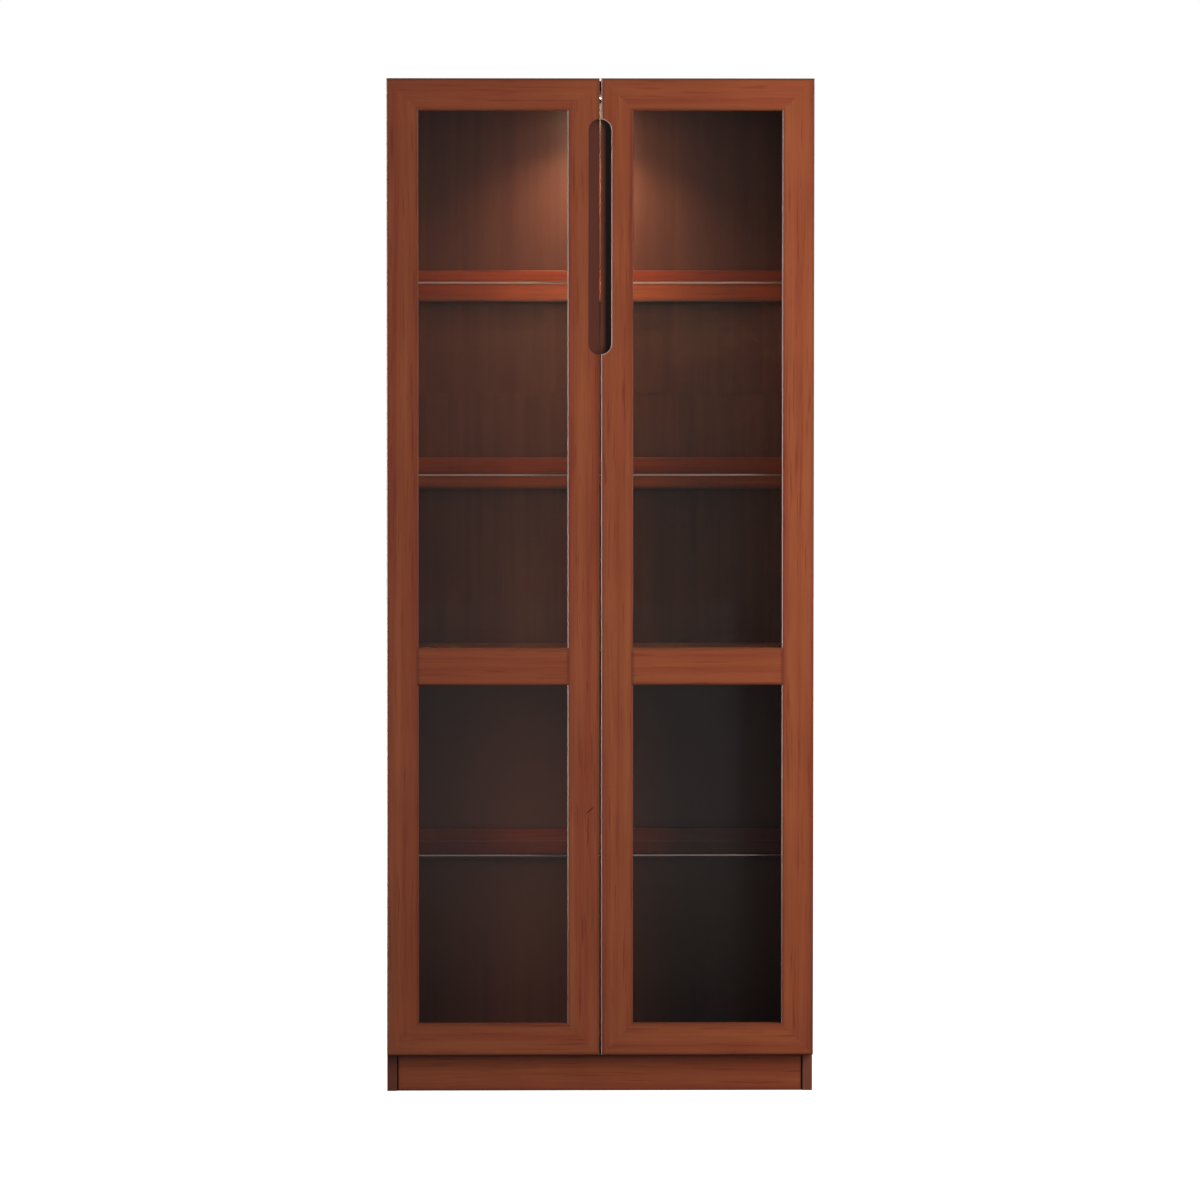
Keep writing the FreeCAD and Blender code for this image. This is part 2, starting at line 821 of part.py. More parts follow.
def outer_stile(side):
    """The hinge stile: mitred ends, a shallow housing for the mid rail and the cup bores."""
    notch = MID_RAIL_ENDS[0]
    body = member(side, "outer_stile", [
        ("0", "0"), ("0", DOOR_HEIGHT), ("frame_width", f"{DOOR_HEIGHT} - frame_width"),
        ("frame_width", MID_RAIL_HIGH), (notch, MID_RAIL_HIGH),
        (notch, MID_RAIL_LOW), ("frame_width", MID_RAIL_LOW),
        ("frame_width", "frame_width"),
    ], OPENINGS)
    cups = sketch_on(body, "XZ_Plane")
    add_circle(cups, across(side, "cup_inset"), "hinge_inset", "cup_radius + fit")
    cup_bore = pocket(body, cups, "cup_depth + fit", reverse=True)
    pilots = sketch_on(body, "XZ_Plane")
    for half in (-1, 1):
        add_circle(
            pilots, across(side, "cup_inset + cup_screw_offset"),
            f"hinge_inset + {half} * cup_screw_pitch / 2", "small_screw",
        )
    pilot_bores = pocket(body, pilots, "cup_screw_length", reverse=True)
    repeat(
        body, [cup_bore, pilot_bores], cups, f"{DOOR_HEIGHT} - 2 * hinge_inset", HINGES_PER_DOOR
    )
    for inboard, level in (("0", "0"), ("0", DOOR_HEIGHT)):
        bore_corner(body, side, inboard, level)
    mid_rail_bores(body, side, notch)
    round_front(body, 2, "edge_round", keep_off=[across(side, notch)])
    return keep(body)


def inner_stile(side):
    """The meeting stile, with half of the finger pull let into its front."""
    edge = f"({DOOR_WIDTH} - frame_width)"
    notch = MID_RAIL_ENDS[1]
    body = member(side, "inner_stile", [
        (DOOR_WIDTH, "0"), (DOOR_WIDTH, DOOR_HEIGHT), (edge, f"{DOOR_HEIGHT} - frame_width"),
        (edge, MID_RAIL_HIGH), (notch, MID_RAIL_HIGH),
        (notch, MID_RAIL_LOW), (edge, MID_RAIL_LOW),
        (edge, "frame_width"),
    ], OPENINGS)
    for inboard, level in ((DOOR_WIDTH, "0"), (DOOR_WIDTH, DOOR_HEIGHT)):
        bore_corner(body, side, inboard, level)
    mid_rail_bores(body, side, notch)
    meeting = across(side, DOOR_WIDTH)
    round_front(body, 2, "edge_round", keep_off=[across(side, notch), meeting])
    pull = sketch_on(body, "XZ_Plane", lift="door_thickness")
    low = "(pull_bottom - plinth_height + pull_width / 2)"
    add_stadium(pull, "0", low, f"{low} + pull_length - pull_width", "pull_width / 2")
    pocket(body, pull, "pull_depth")
    front = -value("door_thickness")
    pull_edge = value("pull_width / 2")

    def rim(edge):
        """The meeting edge and the edge of the pull: front edges no further out than it."""
        span = edge.BoundBox
        if not on_plane(span.YMin, front) or not on_plane(span.YMax, front):
            return False
        return max(abs(span.XMin), abs(span.XMax)) < pull_edge + 0.01

    dress(body, "Fillet", "meeting_round", rim)
    return keep(body)


def mid_rail_bores(body, side, end):
    """Bores for the mid rail's dowels, centred on the end of the rail."""
    for level in rail_dowels(MID_RAIL_LOW, "mid_rail_width"):
        start = f"{across(side, end)} - dowel_length / 2"
        bore(
            body, start, "-door_thickness / 2", level, about_y(90),
            "dowel_radius + fit", "dowel_length",
        )


def end_rail(side, name, outer, inner, opening):
    """A mitred rail between its outer and inner edges."""
    body = member(side, name, [
        ("0", outer), (DOOR_WIDTH, outer),
        (f"({DOOR_WIDTH} - frame_width)", inner), ("frame_width", inner),
    ], [opening])
    for inboard in ("0", DOOR_WIDTH):
        bore_corner(body, side, inboard, outer)
    round_front(body, 0, "edge_round")
    return keep(body)


def mid_rail(side):
    near, far = MID_RAIL_ENDS
    body = member(side, "mid_rail", [
        (near, MID_RAIL_LOW), (far, MID_RAIL_LOW), (far, MID_RAIL_HIGH), (near, MID_RAIL_HIGH),
    ], OPENINGS)
    for end in MID_RAIL_ENDS:
        mid_rail_bores(body, side, end)
    round_front(body, 0, "edge_round")
    return keep(body)


def frame_dowels(side):
    """The dowels in the door's mitres and in the ends of its mid rail."""
    members = []
    middle = f"{DOOR_BACK} - door_thickness / 2"
    for inboard in ("0", DOOR_WIDTH):
        for level in ("0", DOOR_HEIGHT):
            for x, z, turn in corner_dowel_places(side, inboard, level):
                members.append(copy_of(
                    MASTERS["dowel"], x, middle, f"plinth_height + {z}", turn
                ))
    for end in MID_RAIL_ENDS:
        for level in rail_dowels(MID_RAIL_LOW, "mid_rail_width"):
            members.append(copy_of(
                MASTERS["dowel"], f"{across(side, end)} - dowel_length / 2", middle,
                f"plinth_height + {level}", about_y(90),
            ))
    keep_group(f"{side}_door_dowels", members)


def panes(side):
    """The panes rest in the rebates, against the front lip."""
    shrink = "(rebate - pane_play)"
    for name, (low, high) in OPENINGS.items():
        wide = f"({DOOR_WIDTH} - 2 * frame_width + 2 * {shrink})"
        edge = "frame_width - rebate + pane_play"
        left = across(side, edge) if side == "left" else f"{across(side, edge)} - {wide}"
        keep(box(
            f"{side}_door_{name}_glass",
            left, f"{DOOR_FRONT} + glass_lip", f"plinth_height + {low} - {shrink}",
            wide, "pane", f"{high} - {low} + 2 * {shrink}",
        ))


def bead(side, name, points, axis, inner_edge):
    """One mitred glazing bead along an axis, 0 or 2, bevelled on the opening's side."""
    body = new_body(f"{side}_bead_{name}", y=DOOR_BACK, z="plinth_height")
    outline = sketch_on(body, "XZ_Plane")
    door_polygon(outline, side, points)
    pad(body, outline, "door_thickness - glass_lip - pane")
    inner = value(inner_edge)

    def beside_opening(edge):
        middle = edge.CenterOfMass
        inward = middle.z if axis == 0 else middle.x
        return runs_along(edge, axis) and on_plane(middle.y, 0) and on_plane(inward, inner)

    dress(body, "Chamfer", "bead_bevel", beside_opening)
    return body


def beads(side):
    """Four beads round each pane, as wide as the rebate."""
    members = []
    near, far = "frame_width", f"({DOOR_WIDTH} - frame_width)"
    out_near, out_far = f"({near} - rebate)", f"({far} + rebate)"
    for name, (low, high) in OPENINGS.items():
        out_low, out_high = f"({low} - rebate)", f"({high} + rebate)"
        members += [
            bead(side, f"{name}_outer", [
                (out_near, out_low), (near, low), (near, high), (out_near, out_high),
            ], 2, across(side, near)),
            bead(side, f"{name}_inner", [
                (out_far, out_low), (far, low), (far, high), (out_far, out_high),
            ], 2, across(side, far)),
            bead(side, f"{name}_bottom", [
                (out_near, out_low), (out_far, out_low), (far, low), (near, low),
            ], 0, low),
            bead(side, f"{name}_top", [
                (out_near, out_high), (out_far, out_high), (far, high), (near, high),
            ], 0, high),
        ]
    keep_group(f"{side}_door_glazing_beads", members)


def bumpers(side):
    """Soft dots behind the meeting stile that land on the carcass panels' front edges."""
    members = []
    for board in ("top_panel", "bottom_panel", "fixed_shelf"):
        level = f"{BOARDS[board].bottom} + board / 2"
        members.append(peg(
            "bumper", f"{SIDES[side]} * bumper_inset", f"{DOOR_BACK} + door_gap - soft_gap", level,
            Rotation(Vector(1, 0, 0), 90), "bumper_radius", "door_gap - soft_gap",
        ))
    keep_group(f"{side}_door_bumpers", members)


def door(side):
    outer_stile(side)
    inner_stile(side)
    end_rail(side, "bottom_rail", "0", "frame_width", "lower")
    end_rail(side, "top_rail", DOOR_HEIGHT, f"({DOOR_HEIGHT} - frame_width)", "upper")
    mid_rail(side)
    frame_dowels(side)
    panes(side)
    beads(side)
    bumpers(side)


# ---------------------------------------------------------------- concealed hinges


def hinge_cup():
    """A pressed cup with its screw flange; origin at the cup's centre on the door's back."""
    body = new_body("cup_master")
    plate = sketch_on(body, "XZ_Plane")
    add_rectangle(
        plate, "-flange_width / 2", "-flange_length / 2", "flange_width / 2", "flange_length / 2"
    )
    pad(body, plate, "flange", reverse=True)
    dress(body, "Fillet", "flange_width / 4", lambda edge: runs_along(edge, 1))
    barrel = sketch_on(body, "XZ_Plane")
    add_circle(barrel, "0", "0", "cup_radius")
    pad(body, barrel, "cup_depth")
    hollow = sketch_on(body, "XZ_Plane", lift="-flange")
    add_circle(hollow, "0", "0", "cup_radius - cup_wall")
    pocket(body, hollow, "flange + cup_depth - cup_wall", reverse=True)
    screws = sketch_on(body, "XZ_Plane", lift="-flange")
    for half in (-1, 1):
        add_circle(screws, "cup_screw_offset", f"{half} * cup_screw_pitch / 2", "small_screw")
    pocket(body, screws, "flange", reverse=True)
    return body


def screw(label, shank, length, head, head_height):
    """A screw along -Z from the underside of its head, with a cross recess."""
    body = new_body(label)
    half = sketch_on(body, "XZ_Plane")
    add_polygon(half, [
        ("0", f"-({length})"), (shank, f"-({length})"), (shank, "0"),
        (head, "0"), (head, head_height), ("0", head_height),
    ])
    revolve(body, half)
    recess = sketch_on(body, "XY_Plane", lift=head_height)
    add_cross(recess, f"({shank} * 3 / 4)", f"({shank} / 5)")
    pocket(body, recess, f"{head_height} + {shank} / 2")
    return body


def mounting_plate():
    """A winged plate with a raised rail; origin on the side's inner face at the screw line."""
    body = new_body("plate_master")
    base = sketch_on(body, "YZ_Plane")
    long_half, wing_half = "plate_length / 2", "wing_length / 2"
    thin, broad = "plate_breadth / 2", "wing_breadth / 2"
    add_polygon(base, [
        (f"-{long_half}", f"-{thin}"), (f"-{broad}", f"-{thin}"), (f"-{broad}", f"-{wing_half}"),
        (broad, f"-{wing_half}"), (broad, f"-{thin}"), (long_half, f"-{thin}"),
        (long_half, thin), (broad, thin), (broad, wing_half),
        (f"-{broad}", wing_half), (f"-{broad}", thin), (f"-{long_half}", thin),
    ])
    pad(body, base, "plate_base")
    wing_end = value(wing_half)
    dress(
        body, "Fillet", "wing_round",
        lambda edge: runs_along(edge, 0) and on_plane(abs(edge.CenterOfMass.z), wing_end),
    )
    rail = sketch_on(body, "YZ_Plane", lift="plate_base")
    add_rectangle(rail, f"-{long_half}", f"-{thin}", long_half, thin)
    pad(body, rail, f"{ARM_HIGH} - arm_wall - plate_base")
    holes = sketch_on(body, "YZ_Plane")
    for half in (-1, 1):
        add_circle(holes, "0", f"{half} * plate_screw_pitch / 2", "plate_screw")
    pocket(body, holes, "plate_base", reverse=True)
    thread = sketch_on(body, "YZ_Plane", lift=f"{ARM_HIGH} - arm_wall")
    add_circle(thread, "arm_screw_back", "0", "small_screw")
    pocket(body, thread, "arm_screw_length - arm_wall")
    return body


def hinge_arm():
    """A channel over the plate's rail; origin on the side's inner face at the carcass front."""
    body = new_body("arm_master")
    outline = sketch_on(body, "XY_Plane")
    front = f"-{TIP_FORWARD} - tip_radius"
    add_rectangle(outline, "arm_low", front, ARM_HIGH, "arm_tail")
    pad(body, outline, "arm_breadth", both_ways=True)
    tip = value(front)
    dress(
        body, "Fillet", "tip_radius",
        lambda edge: runs_along(edge, 2) and on_plane(edge.CenterOfMass.y, tip),
    )
    channel = sketch_on(body, "XY_Plane")
    add_rectangle(
        channel, "arm_low - arm_wall", f"{front} - arm_wall",
        f"{ARM_HIGH} - arm_wall", "arm_tail + arm_wall",
    )
    pocket(body, channel, "arm_breadth - 2 * arm_wall", both_ways=True)
    pivot = sketch_on(body, "XY_Plane")
    add_circle(pivot, "tip_side", f"-{TIP_FORWARD}", "pivot_radius + fit / 2")
    pocket(body, pivot, "arm_breadth", both_ways=True)
    screw_hole = sketch_on(body, "YZ_Plane", lift=ARM_HIGH)
    add_circle(screw_hole, "plate_setback + arm_screw_back", "0", "small_screw")
    pocket(body, screw_hole, "arm_wall")
    return body


def hinge_link():
    """The hooked link that follows the door, with its pivot pin; origin on the pin."""
    body = new_body("link_master")
    half = "link_thickness / 2"
    outer, hook = "-link_reach", "link_hook"
    outline = sketch_on(body, "XY_Plane")
    add_polygon(outline, [
        ("0", f"-{half}"), (f"{outer} + link_bend", f"-{half}"),
        (outer, f"link_bend - {half}"), (outer, hook),
        (f"{outer} + link_thickness", hook), (f"{outer} + link_thickness", "link_bend"),
        (f"{outer} + link_bend + {half}", half), ("0", half),
    ])
    leaf = "arm_breadth - 2 * arm_wall - 2 * soft_gap"
    pad(body, outline, leaf, both_ways=True)
    eye = sketch_on(body, "XY_Plane")
    add_circle(eye, "0", "0", "link_eye")
    pad(body, eye, leaf, both_ways=True)
    pivot = sketch_on(body, "XY_Plane")
    add_circle(pivot, "0", "0", "pivot_radius")
    pad(body, pivot, "arm_breadth", both_ways=True)
    return body


def turned_for(side):
    """Hinge parts are alike above and below, so half a turn about Y mirrors them."""
    return about_y(0) if side == "left" else about_y(180)


def hinges(side):
    sign = SIDES[side]
    turn = turned_for(side)
    cups, cup_screws, plates, arms, links = [], [], [], [], []
    into_door = Rotation(Vector(1, 0, 0), -90)
    for height in hinge_heights():
        cup_x = across(side, "cup_inset")
        cups.append(copy_of(MASTERS["cup"], cup_x, DOOR_BACK, height, turn))
        for half in (-1, 1):
            cup_screws.append(copy_of(
                MASTERS["cup_screw"],
                f"{cup_x} - {sign} * cup_screw_offset", f"{DOOR_BACK} + flange",
                f"{height} + {half} * cup_screw_pitch / 2", into_door,
            ))
        wall = f"{sign} * {INNER}"
        plates.append(copy_of(
            MASTERS["plate"], wall, f"{CARCASS_FRONT} + plate_setback", height, turn
        ))
        arms.append(copy_of(MASTERS["arm"], wall, CARCASS_FRONT, height, turn))
        links.append(copy_of(
            MASTERS["link"], f"{sign} * ({INNER} - tip_side)", f"{CARCASS_FRONT} - {TIP_FORWARD}",
            height, turn,
        ))
    keep_group(f"{side}_door_hinge_cups", cups)
    keep_group(f"{side}_door_cup_screws", cup_screws)
    keep_group(f"hinge_plates_{side}", plates)
    keep_group(f"hinge_arms_{side}", arms)
    keep_group(f"hinge_links_{side}", links)


def plate_screws():
    members, arm_members = [], []
    for side, sign in SIDES.items():
        into_wall = about_y(90 * -sign)
        for height in hinge_heights():
            for half in (-1, 1):
                members.append(copy_of(
                    MASTERS["plate_screw"], f"{sign} * ({INNER} - plate_base)",
                    f"{CARCASS_FRONT} + plate_setback",
                    f"{height} + {half} * plate_screw_pitch / 2", into_wall,
                ))
            arm_members.append(copy_of(
                MASTERS["arm_screw"], f"{sign} * ({INNER} - {ARM_HIGH})",
                f"{CARCASS_FRONT} + plate_setback + arm_screw_back", height, into_wall,
            ))
    keep_group("hinge_plate_screws", members)
    keep_group("hinge_arm_screws", arm_members)


# ---------------------------------------------------------------- lamp


def lamp():
    """A round surface lamp: a housing with a lip, its lens, its light board and two screws."""
    place_at = {"x": "0", "y": "lamp_back", "z": f"{CARCASS_TOP} - board"}
    housing = new_body("lamp_housing", **place_at)
    half = sketch_on(housing, "XZ_Plane")
    inside, lip = "(lamp_radius - lamp_wall)", "(lamp_radius - 2 * lamp_wall)"
    add_polygon(half, [
        ("0", "0"), ("lamp_radius", "0"), ("lamp_radius", "-lamp_height"),
        (lip, "-lamp_height"), (lip, "-lamp_height + lamp_roof"),
        (inside, "-lamp_height + lamp_roof"), (inside, "-lamp_roof"), ("0", "-lamp_roof"),
    ])
    revolve(housing, half)
    rim, foot = value("lamp_radius"), -value("lamp_height")
    dress(
        housing, "Fillet", "lamp_round",
        lambda edge: on_plane(edge.BoundBox.XMax, rim) and on_plane(edge.BoundBox.ZMax, foot),
    )
    holes = sketch_on(housing, "XY_Plane")
    for sign in (-1, 1):
        add_circle(holes, f"{sign} * lamp_screw_ring", "0", "small_screw")
    pocket(housing, holes, "lamp_roof")
    keep(housing)

    seat = f"{place_at['z']} - lamp_height + lamp_roof"
    lens = peg(
        "lamp_lens", "0", "lamp_back", seat, None, "lamp_radius - lamp_wall - fit", "lens"
    )
    lens.Label = "lamp_lens"
    keep(lens)
    board = peg(
        "lamp_light_board", "0", "lamp_back", f"{place_at['z']} - lamp_roof - lamp_board",
        None, "lamp_board_radius", "lamp_board",
    )
    board.Label = "lamp_light_board"
    keep(board)

    upward = Rotation(Vector(1, 0, 0), 180)
    keep_group("lamp_screws", [
        copy_of(
            MASTERS["lamp_screw"], f"{sign} * lamp_screw_ring", "lamp_back",
            f"{place_at['z']} - lamp_roof", upward,
        )
        for sign in (-1, 1)
    ])


# ---------------------------------------------------------------- build and write

fill_sheet()

MASTERS = {
    "dowel": dowel(),
    "cup": hinge_cup(),
    "cup_screw": screw(
        "cup_screw_master", "small_screw", "cup_screw_length", "small_screw_head",
        "screw_head_height / 2",
    ),
    "plate": mounting_plate(),
    "plate_screw": screw(
        "plate_screw_master", "plate_screw", "plate_base + bolt_bite", "plate_screw_head",
        "screw_head_height",
    ),
    "arm": hinge_arm(),
    "arm_screw": screw(
        "arm_screw_master", "small_screw", "arm_screw_length", "small_screw_head",
        "screw_head_height",
    ),
    "link": hinge_link(),
    "lamp_screw": screw(
        "lamp_screw_master", "small_screw", "lamp_roof + lamp_screw_length - dowel_relief",
        "small_screw_head", "screw_head_height",
    ),
}

for panel_side in SIDES:
    side_panel(panel_side)
for board_name, cross in BOARDS.items():
    made = cross_board(board_name, cross)
    if board_name == "top_panel":
        lamp_panel(made)
back_sheets()
carcass_dowels()
cam_fittings()
for shelf_name in GLASS_SHELVES:
    glass_shelf(shelf_name)
shelf_supports()
for door_side in SIDES:
    door(door_side)

for door_side in SIDES:
    hinges(door_side)
plate_screws()
lamp()

doc.recompute()

for item in doc.Objects:
    if "Invalid" in item.State or "Error" in item.State:
        raise RuntimeError(f"{item.Label} failed to build")
    if item.TypeId == "PartDesign::Pocket" and item.BaseFeature is not None:
        if item.Shape.Volume > item.BaseFeature.Shape.Volume - 0.001:
            raise RuntimeError(f"{item.Label} removes nothing")
for item in nodes:
    if item.Shape.isNull() or not item.Shape.isValid() or not item.Shape.Solids:
        raise RuntimeError(f"{item.Label} has no valid shape")

os.makedirs("parts", exist_ok=True)
for item in nodes:
    item.Shape.exportStep(os.path.join("parts", f"{item.Label}.step"))
    print(f"{item.Label}: {len(item.Shape.Solids)} solids")
print(len(nodes), "nodes")
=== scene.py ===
"""The looks of a tall bookcase with glass doors: lacquered cherry, glass, nickel and a lamp."""

import math

import bpy
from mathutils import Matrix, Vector


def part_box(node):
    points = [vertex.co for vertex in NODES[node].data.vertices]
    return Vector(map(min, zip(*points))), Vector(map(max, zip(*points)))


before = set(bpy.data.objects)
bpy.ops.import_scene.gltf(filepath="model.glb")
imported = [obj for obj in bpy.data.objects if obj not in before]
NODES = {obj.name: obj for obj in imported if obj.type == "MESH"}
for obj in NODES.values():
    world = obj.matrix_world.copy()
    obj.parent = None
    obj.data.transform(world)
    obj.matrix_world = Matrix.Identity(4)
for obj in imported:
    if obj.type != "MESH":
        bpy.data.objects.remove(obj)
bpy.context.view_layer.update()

SIDES = ("left", "right")
MM = 0.001
X, Y, Z = range(3)
WHITE = (1, 1, 1, 1)

# ---------------------------------------------------------------- camera, lights and room
# Lengths are in metres, angles in degrees and powers in watts.

CAMERA_PLACE = (-0.234, -9.775, 1.370)
CAMERA_PITCH = 1.98
CAMERA_YAW = 0.857
CAMERA_LENS = 154.06
CAMERA_SHIFT = (0.04, -0.05)
CAMERA_REACH = 100

KEY_LIGHT = {
    "place": (1.9, -1.8, 1.57), "target": (0, -0.17, 0.95), "width": 1.2, "height": 2.5,
    "power": 64,
}
WALL_LIGHT = {
    "place": (-3.0, 0, 1.0), "target": (0, 0, 1.0), "width": 5.0, "height": 2.6, "power": 385,
}
LAMP_WARMTH = (1.0, 0.90, 0.56)
LAMP_GLOW_POWER = 0.8
LAMP_BEAM_POWER = 27.5
LAMP_CONE = 128
LAMP_TILT = 3
LAMP_CLEARANCE = 1.5 * MM

FLOOR_SIZE = 40.0
FLOOR_DROP = 0.2 * MM
FLOOR_LIFT = 0.88

# What gloss and glass mirror of the floor: how bright it is at its near and its far end, and
# the line that leans to the right with distance, past which only a share of that is left.
FLOOR_IN_PANES = (0.09, 0.20)
FLOOR_NEAR_AND_FAR = (0.8, 6.0)
FLOOR_LINE = (0.2, 0.32)
FLOOR_LINE_LEAN = 0.05
FLOOR_PAST_LINE = 0.35

# What they mirror of the room in front: brighter to the left of a window's edge. The white
# walls stand behind and to the left, where the lean is high.
WINDOW_IN_PANES = (0.15, 0.06)
WINDOW_EDGE = (0.042, 0.060)
WALL_LEAN = -0.8
WALLS_LIGHT = (0.15, 0.9)
WALLS_MIRRORED = (0.0, 0.7)
DIM_ROOM = 0.10

# ---------------------------------------------------------------- where the stains and the painted light and shade lie
# The finger pull is a stadium that both meeting stiles share. A pair of distances gives where a
# mask's blurred border starts and ends, counted from the edge or the face that it names.

PULL_MIDDLE = 1.604
PULL_STRAIGHT = 0.1985
PULL_RADIUS = 0.0205
PULL_BORDER = (-0.5 * MM, 0.5 * MM)
PULL_BEHIND_FRONT = (2 * MM, 9 * MM)
PULL_SHADOW_FROM_MIDDLE = (7 * MM, 14 * MM)
RIM_FROM_PULL = 0.6 * MM
RIM_HALF_WIDTH = (0.7 * MM, 1.5 * MM)
SKIN_OF_FRONT = (1.5 * MM, 3 * MM)
MEETING_LINE_WIDTH = (1.4 * MM, 2.4 * MM)
WORN_AND_SHADED_WIDTH = 8 * MM
HALF_THICKNESS_BORDER = (-3 * MM, 3 * MM)
LOWER_EDGE_HEIGHT = (1 * MM, 9 * MM)
BACK_MIDDLE_BORDER = (-0.5 * MM, 0.5 * MM)
UNDER_SHELF = (-20 * MM, 0)
ABOVE_FLOOR = (0, 300 * MM)
LEFT_AT_FLOOR = 0.15
END_SHADOW_FROM_END = (-3.9 * MM, -2.7 * MM)
BAND_THICKNESS = (0.6 * MM, 1.2 * MM)

# The knot's two marks, each set in from the stile's right side and up from its lower end.
KNOT_HEAD = {
    "inset": 18 * MM, "height": 461 * MM, "half_width": 2.6 * MM, "half_length": 8 * MM,
    "slope": 1.1, "strength": 1.0,
}
KNOT_TAIL = {
    "inset": 21.3 * MM, "height": 422 * MM, "half_width": 1.5 * MM, "half_length": 40 * MM,
    "slope": 0.0, "strength": 0.7,
}
KNOT_WANDER = 3 * MM
KNOT_CORE = 0.35

# The span that most values of a noise lie in.
NOISE_SPAN = (0.3, 0.7)


def srgb(red, green, blue):
    """A colour given in screen values from 0 to 255, as the linear colour that shaders use."""
    def linear(value):
        share = value / 255
        return share / 12.92 if share <= 0.04045 else ((share + 0.055) / 1.055) ** 2.4

    return (linear(red), linear(green), linear(blue), 1.0)


def from_edge(edge, distances):
    """The two places that lie the given distances past an edge."""
    return [edge + distance for distance in distances]


# ---------------------------------------------------------------- shader graphs


class Graph:
    """The node tree of a material or a world, with short ways to add and join its nodes."""

    def __init__(self, name, library="materials"):
        self.owner = getattr(bpy.data, library).new(name)
        self.owner.use_nodes = True
        self.tree = self.owner.node_tree
        self.tree.nodes.clear()

    def feed(self, socket, value):
        if isinstance(value, bpy.types.NodeSocket):
            self.tree.links.new(value, socket)
        else:
            socket.default_value = value

    def add(self, kind, inputs=None, **settings):
        node = self.tree.nodes.new(kind)
        for key, value in settings.items():
            setattr(node, key, value)
        for key, value in (inputs or {}).items():
            self.feed(node.inputs[key], value)
        return node

    def place(self):
        """The point on the part, in the frame's metres."""
        return self.add("ShaderNodeTexCoord").outputs["Object"]

    def at(self, axis):
        """One coordinate of the point on the part."""
        return self.split(self.place())[axis]

    def split(self, vector):
        return self.add("ShaderNodeSeparateXYZ", {0: vector}).outputs

    def path(self, kind):
        """Whether the ray that asks is of a kind, such as Camera or Shadow."""
        return self.add("ShaderNodeLightPath").outputs[f"Is {kind} Ray"]

    def math(self, operation, first, second=0.0):
        return self.add("ShaderNodeMath", {0: first, 1: second}, operation=operation).outputs[0]

    def product(self, first, *others):
        for other in others:
            first = self.math("MULTIPLY", first, other)
        return first

    def distance(self, value, middle=0.0):
        """How far a value lies from a middle, to either side."""
        return self.math("ABSOLUTE", self.math("SUBTRACT", value, middle))

    def stretch(self, vector, scale, shift=(0, 0, 0)):
        return self.add(
            "ShaderNodeMapping", {"Vector": vector, "Location": shift, "Scale": scale}
        ).outputs[0]

    def noise(self, vector, scale=1.0, detail=3.0, rough=0.5):
        return self.add("ShaderNodeTexNoise", {
            "Vector": vector, "Scale": scale, "Detail": detail, "Roughness": rough,
        }).outputs["Fac"]

    def spread(self, value, low, high, to_low=0.0, to_high=1.0):
        """Maps a span of a value smoothly onto another span."""
        return self.add("ShaderNodeMapRange", {
            "Value": value, "From Min": low, "From Max": high, "To Min": to_low,
            "To Max": to_high,
        }, interpolation_type="SMOOTHSTEP").outputs["Result"]

    def fade(self, value, low, high):
        """Falls smoothly from one to nothing over a span of a value."""
        return self.spread(value, low, high, 1.0, 0.0)

    def vary(self, noise, low, high):
        """Runs from low to high over the usual span of a noise."""
        return self.spread(noise, *NOISE_SPAN, low, high)

    def tones(self, noise, *colours):
        """Runs from one colour to another over the usual span of a noise."""
        return self.ramp(noise, *zip(NOISE_SPAN, colours))

    def ramp(self, value, *stops):
        node = self.add("ShaderNodeValToRGB", {"Fac": value})
        elements = node.color_ramp.elements
        while len(elements) < len(stops):
            elements.new(0.5)
        for element, (position, colour) in zip(elements, stops):
            element.position = position
            element.color = colour
        return node.outputs["Color"]

    def mix(self, factor, first, second, blend="MIX"):
        node = self.add("ShaderNodeMix", data_type="RGBA", blend_type=blend)
        for index, value in ((0, factor), (6, first), (7, second)):
            self.feed(node.inputs[index], value)
        return node.outputs[2]

    def bump(self, height, depth, strength):
        return self.add(
            "ShaderNodeBump", {"Height": height, "Distance": depth, "Strength": strength}
        ).outputs[0]

    def shader(self, kind, **inputs):
        names = {key.replace("_", " "): value for key, value in inputs.items()}
        return self.add("ShaderNode" + kind, names).outputs[0]

    def blend_shaders(self, share, first, second):
        return self.add("ShaderNodeMixShader", {0: share, 1: first, 2: second}).outputs[0]

    def add_shaders(self, first, second):
        return self.add("ShaderNodeAddShader", {0: first, 1: second}).outputs[0]

    def finish(self, surface, output="ShaderNodeOutputMaterial"):
        self.add(output, {"Surface": surface})
        return self.owner


# ---------------------------------------------------------------- masks on the wood


def near_front(g, node):
    """1 on the front of a piece, to just behind its eased edges."""
    return g.fade(g.at(Y), *from_edge(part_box(node)[0].y, SKIN_OF_FRONT))


def pull_inside_shade(g, node):
    """1 all over the inside of the finger pull, behind the front of a meeting stile, where painted
    shade darkens the recess.
    """
    within = g.fade(g.distance(g.at(X)), *from_edge(PULL_RADIUS, PULL_BORDER))
    sunk = g.spread(g.at(Y), *from_edge(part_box(node)[0].y, PULL_BEHIND_FRONT))
    return g.product(within, sunk)


def pull_shadow(g, node):
    """A painted shadow that fades in across the right half of the finger pull's floor."""
    return g.product(pull_inside_shade(g, node), g.spread(g.at(X), *PULL_SHADOW_FROM_MIDDLE))


def pull_rim_light_and_shade(g, node):
    """1 on the front of a meeting stile in a thin line round the finger pull. The right stile takes
    a painted highlight there, the left a painted shade.
    """
    from_middle = g.distance(g.at(Z), PULL_MIDDLE)
    past_straight = g.math("MAXIMUM", g.math("SUBTRACT", from_middle, PULL_STRAIGHT), 0.0)
    squares = [g.math("POWER", side, 2.0) for side in (g.distance(g.at(X)), past_straight)]
    reach = g.math("SQRT", g.math("ADD", *squares))
    ring = g.fade(g.distance(reach, PULL_RADIUS + RIM_FROM_PULL), *RIM_HALF_WIDTH)
    return g.product(ring, near_front(g, node))


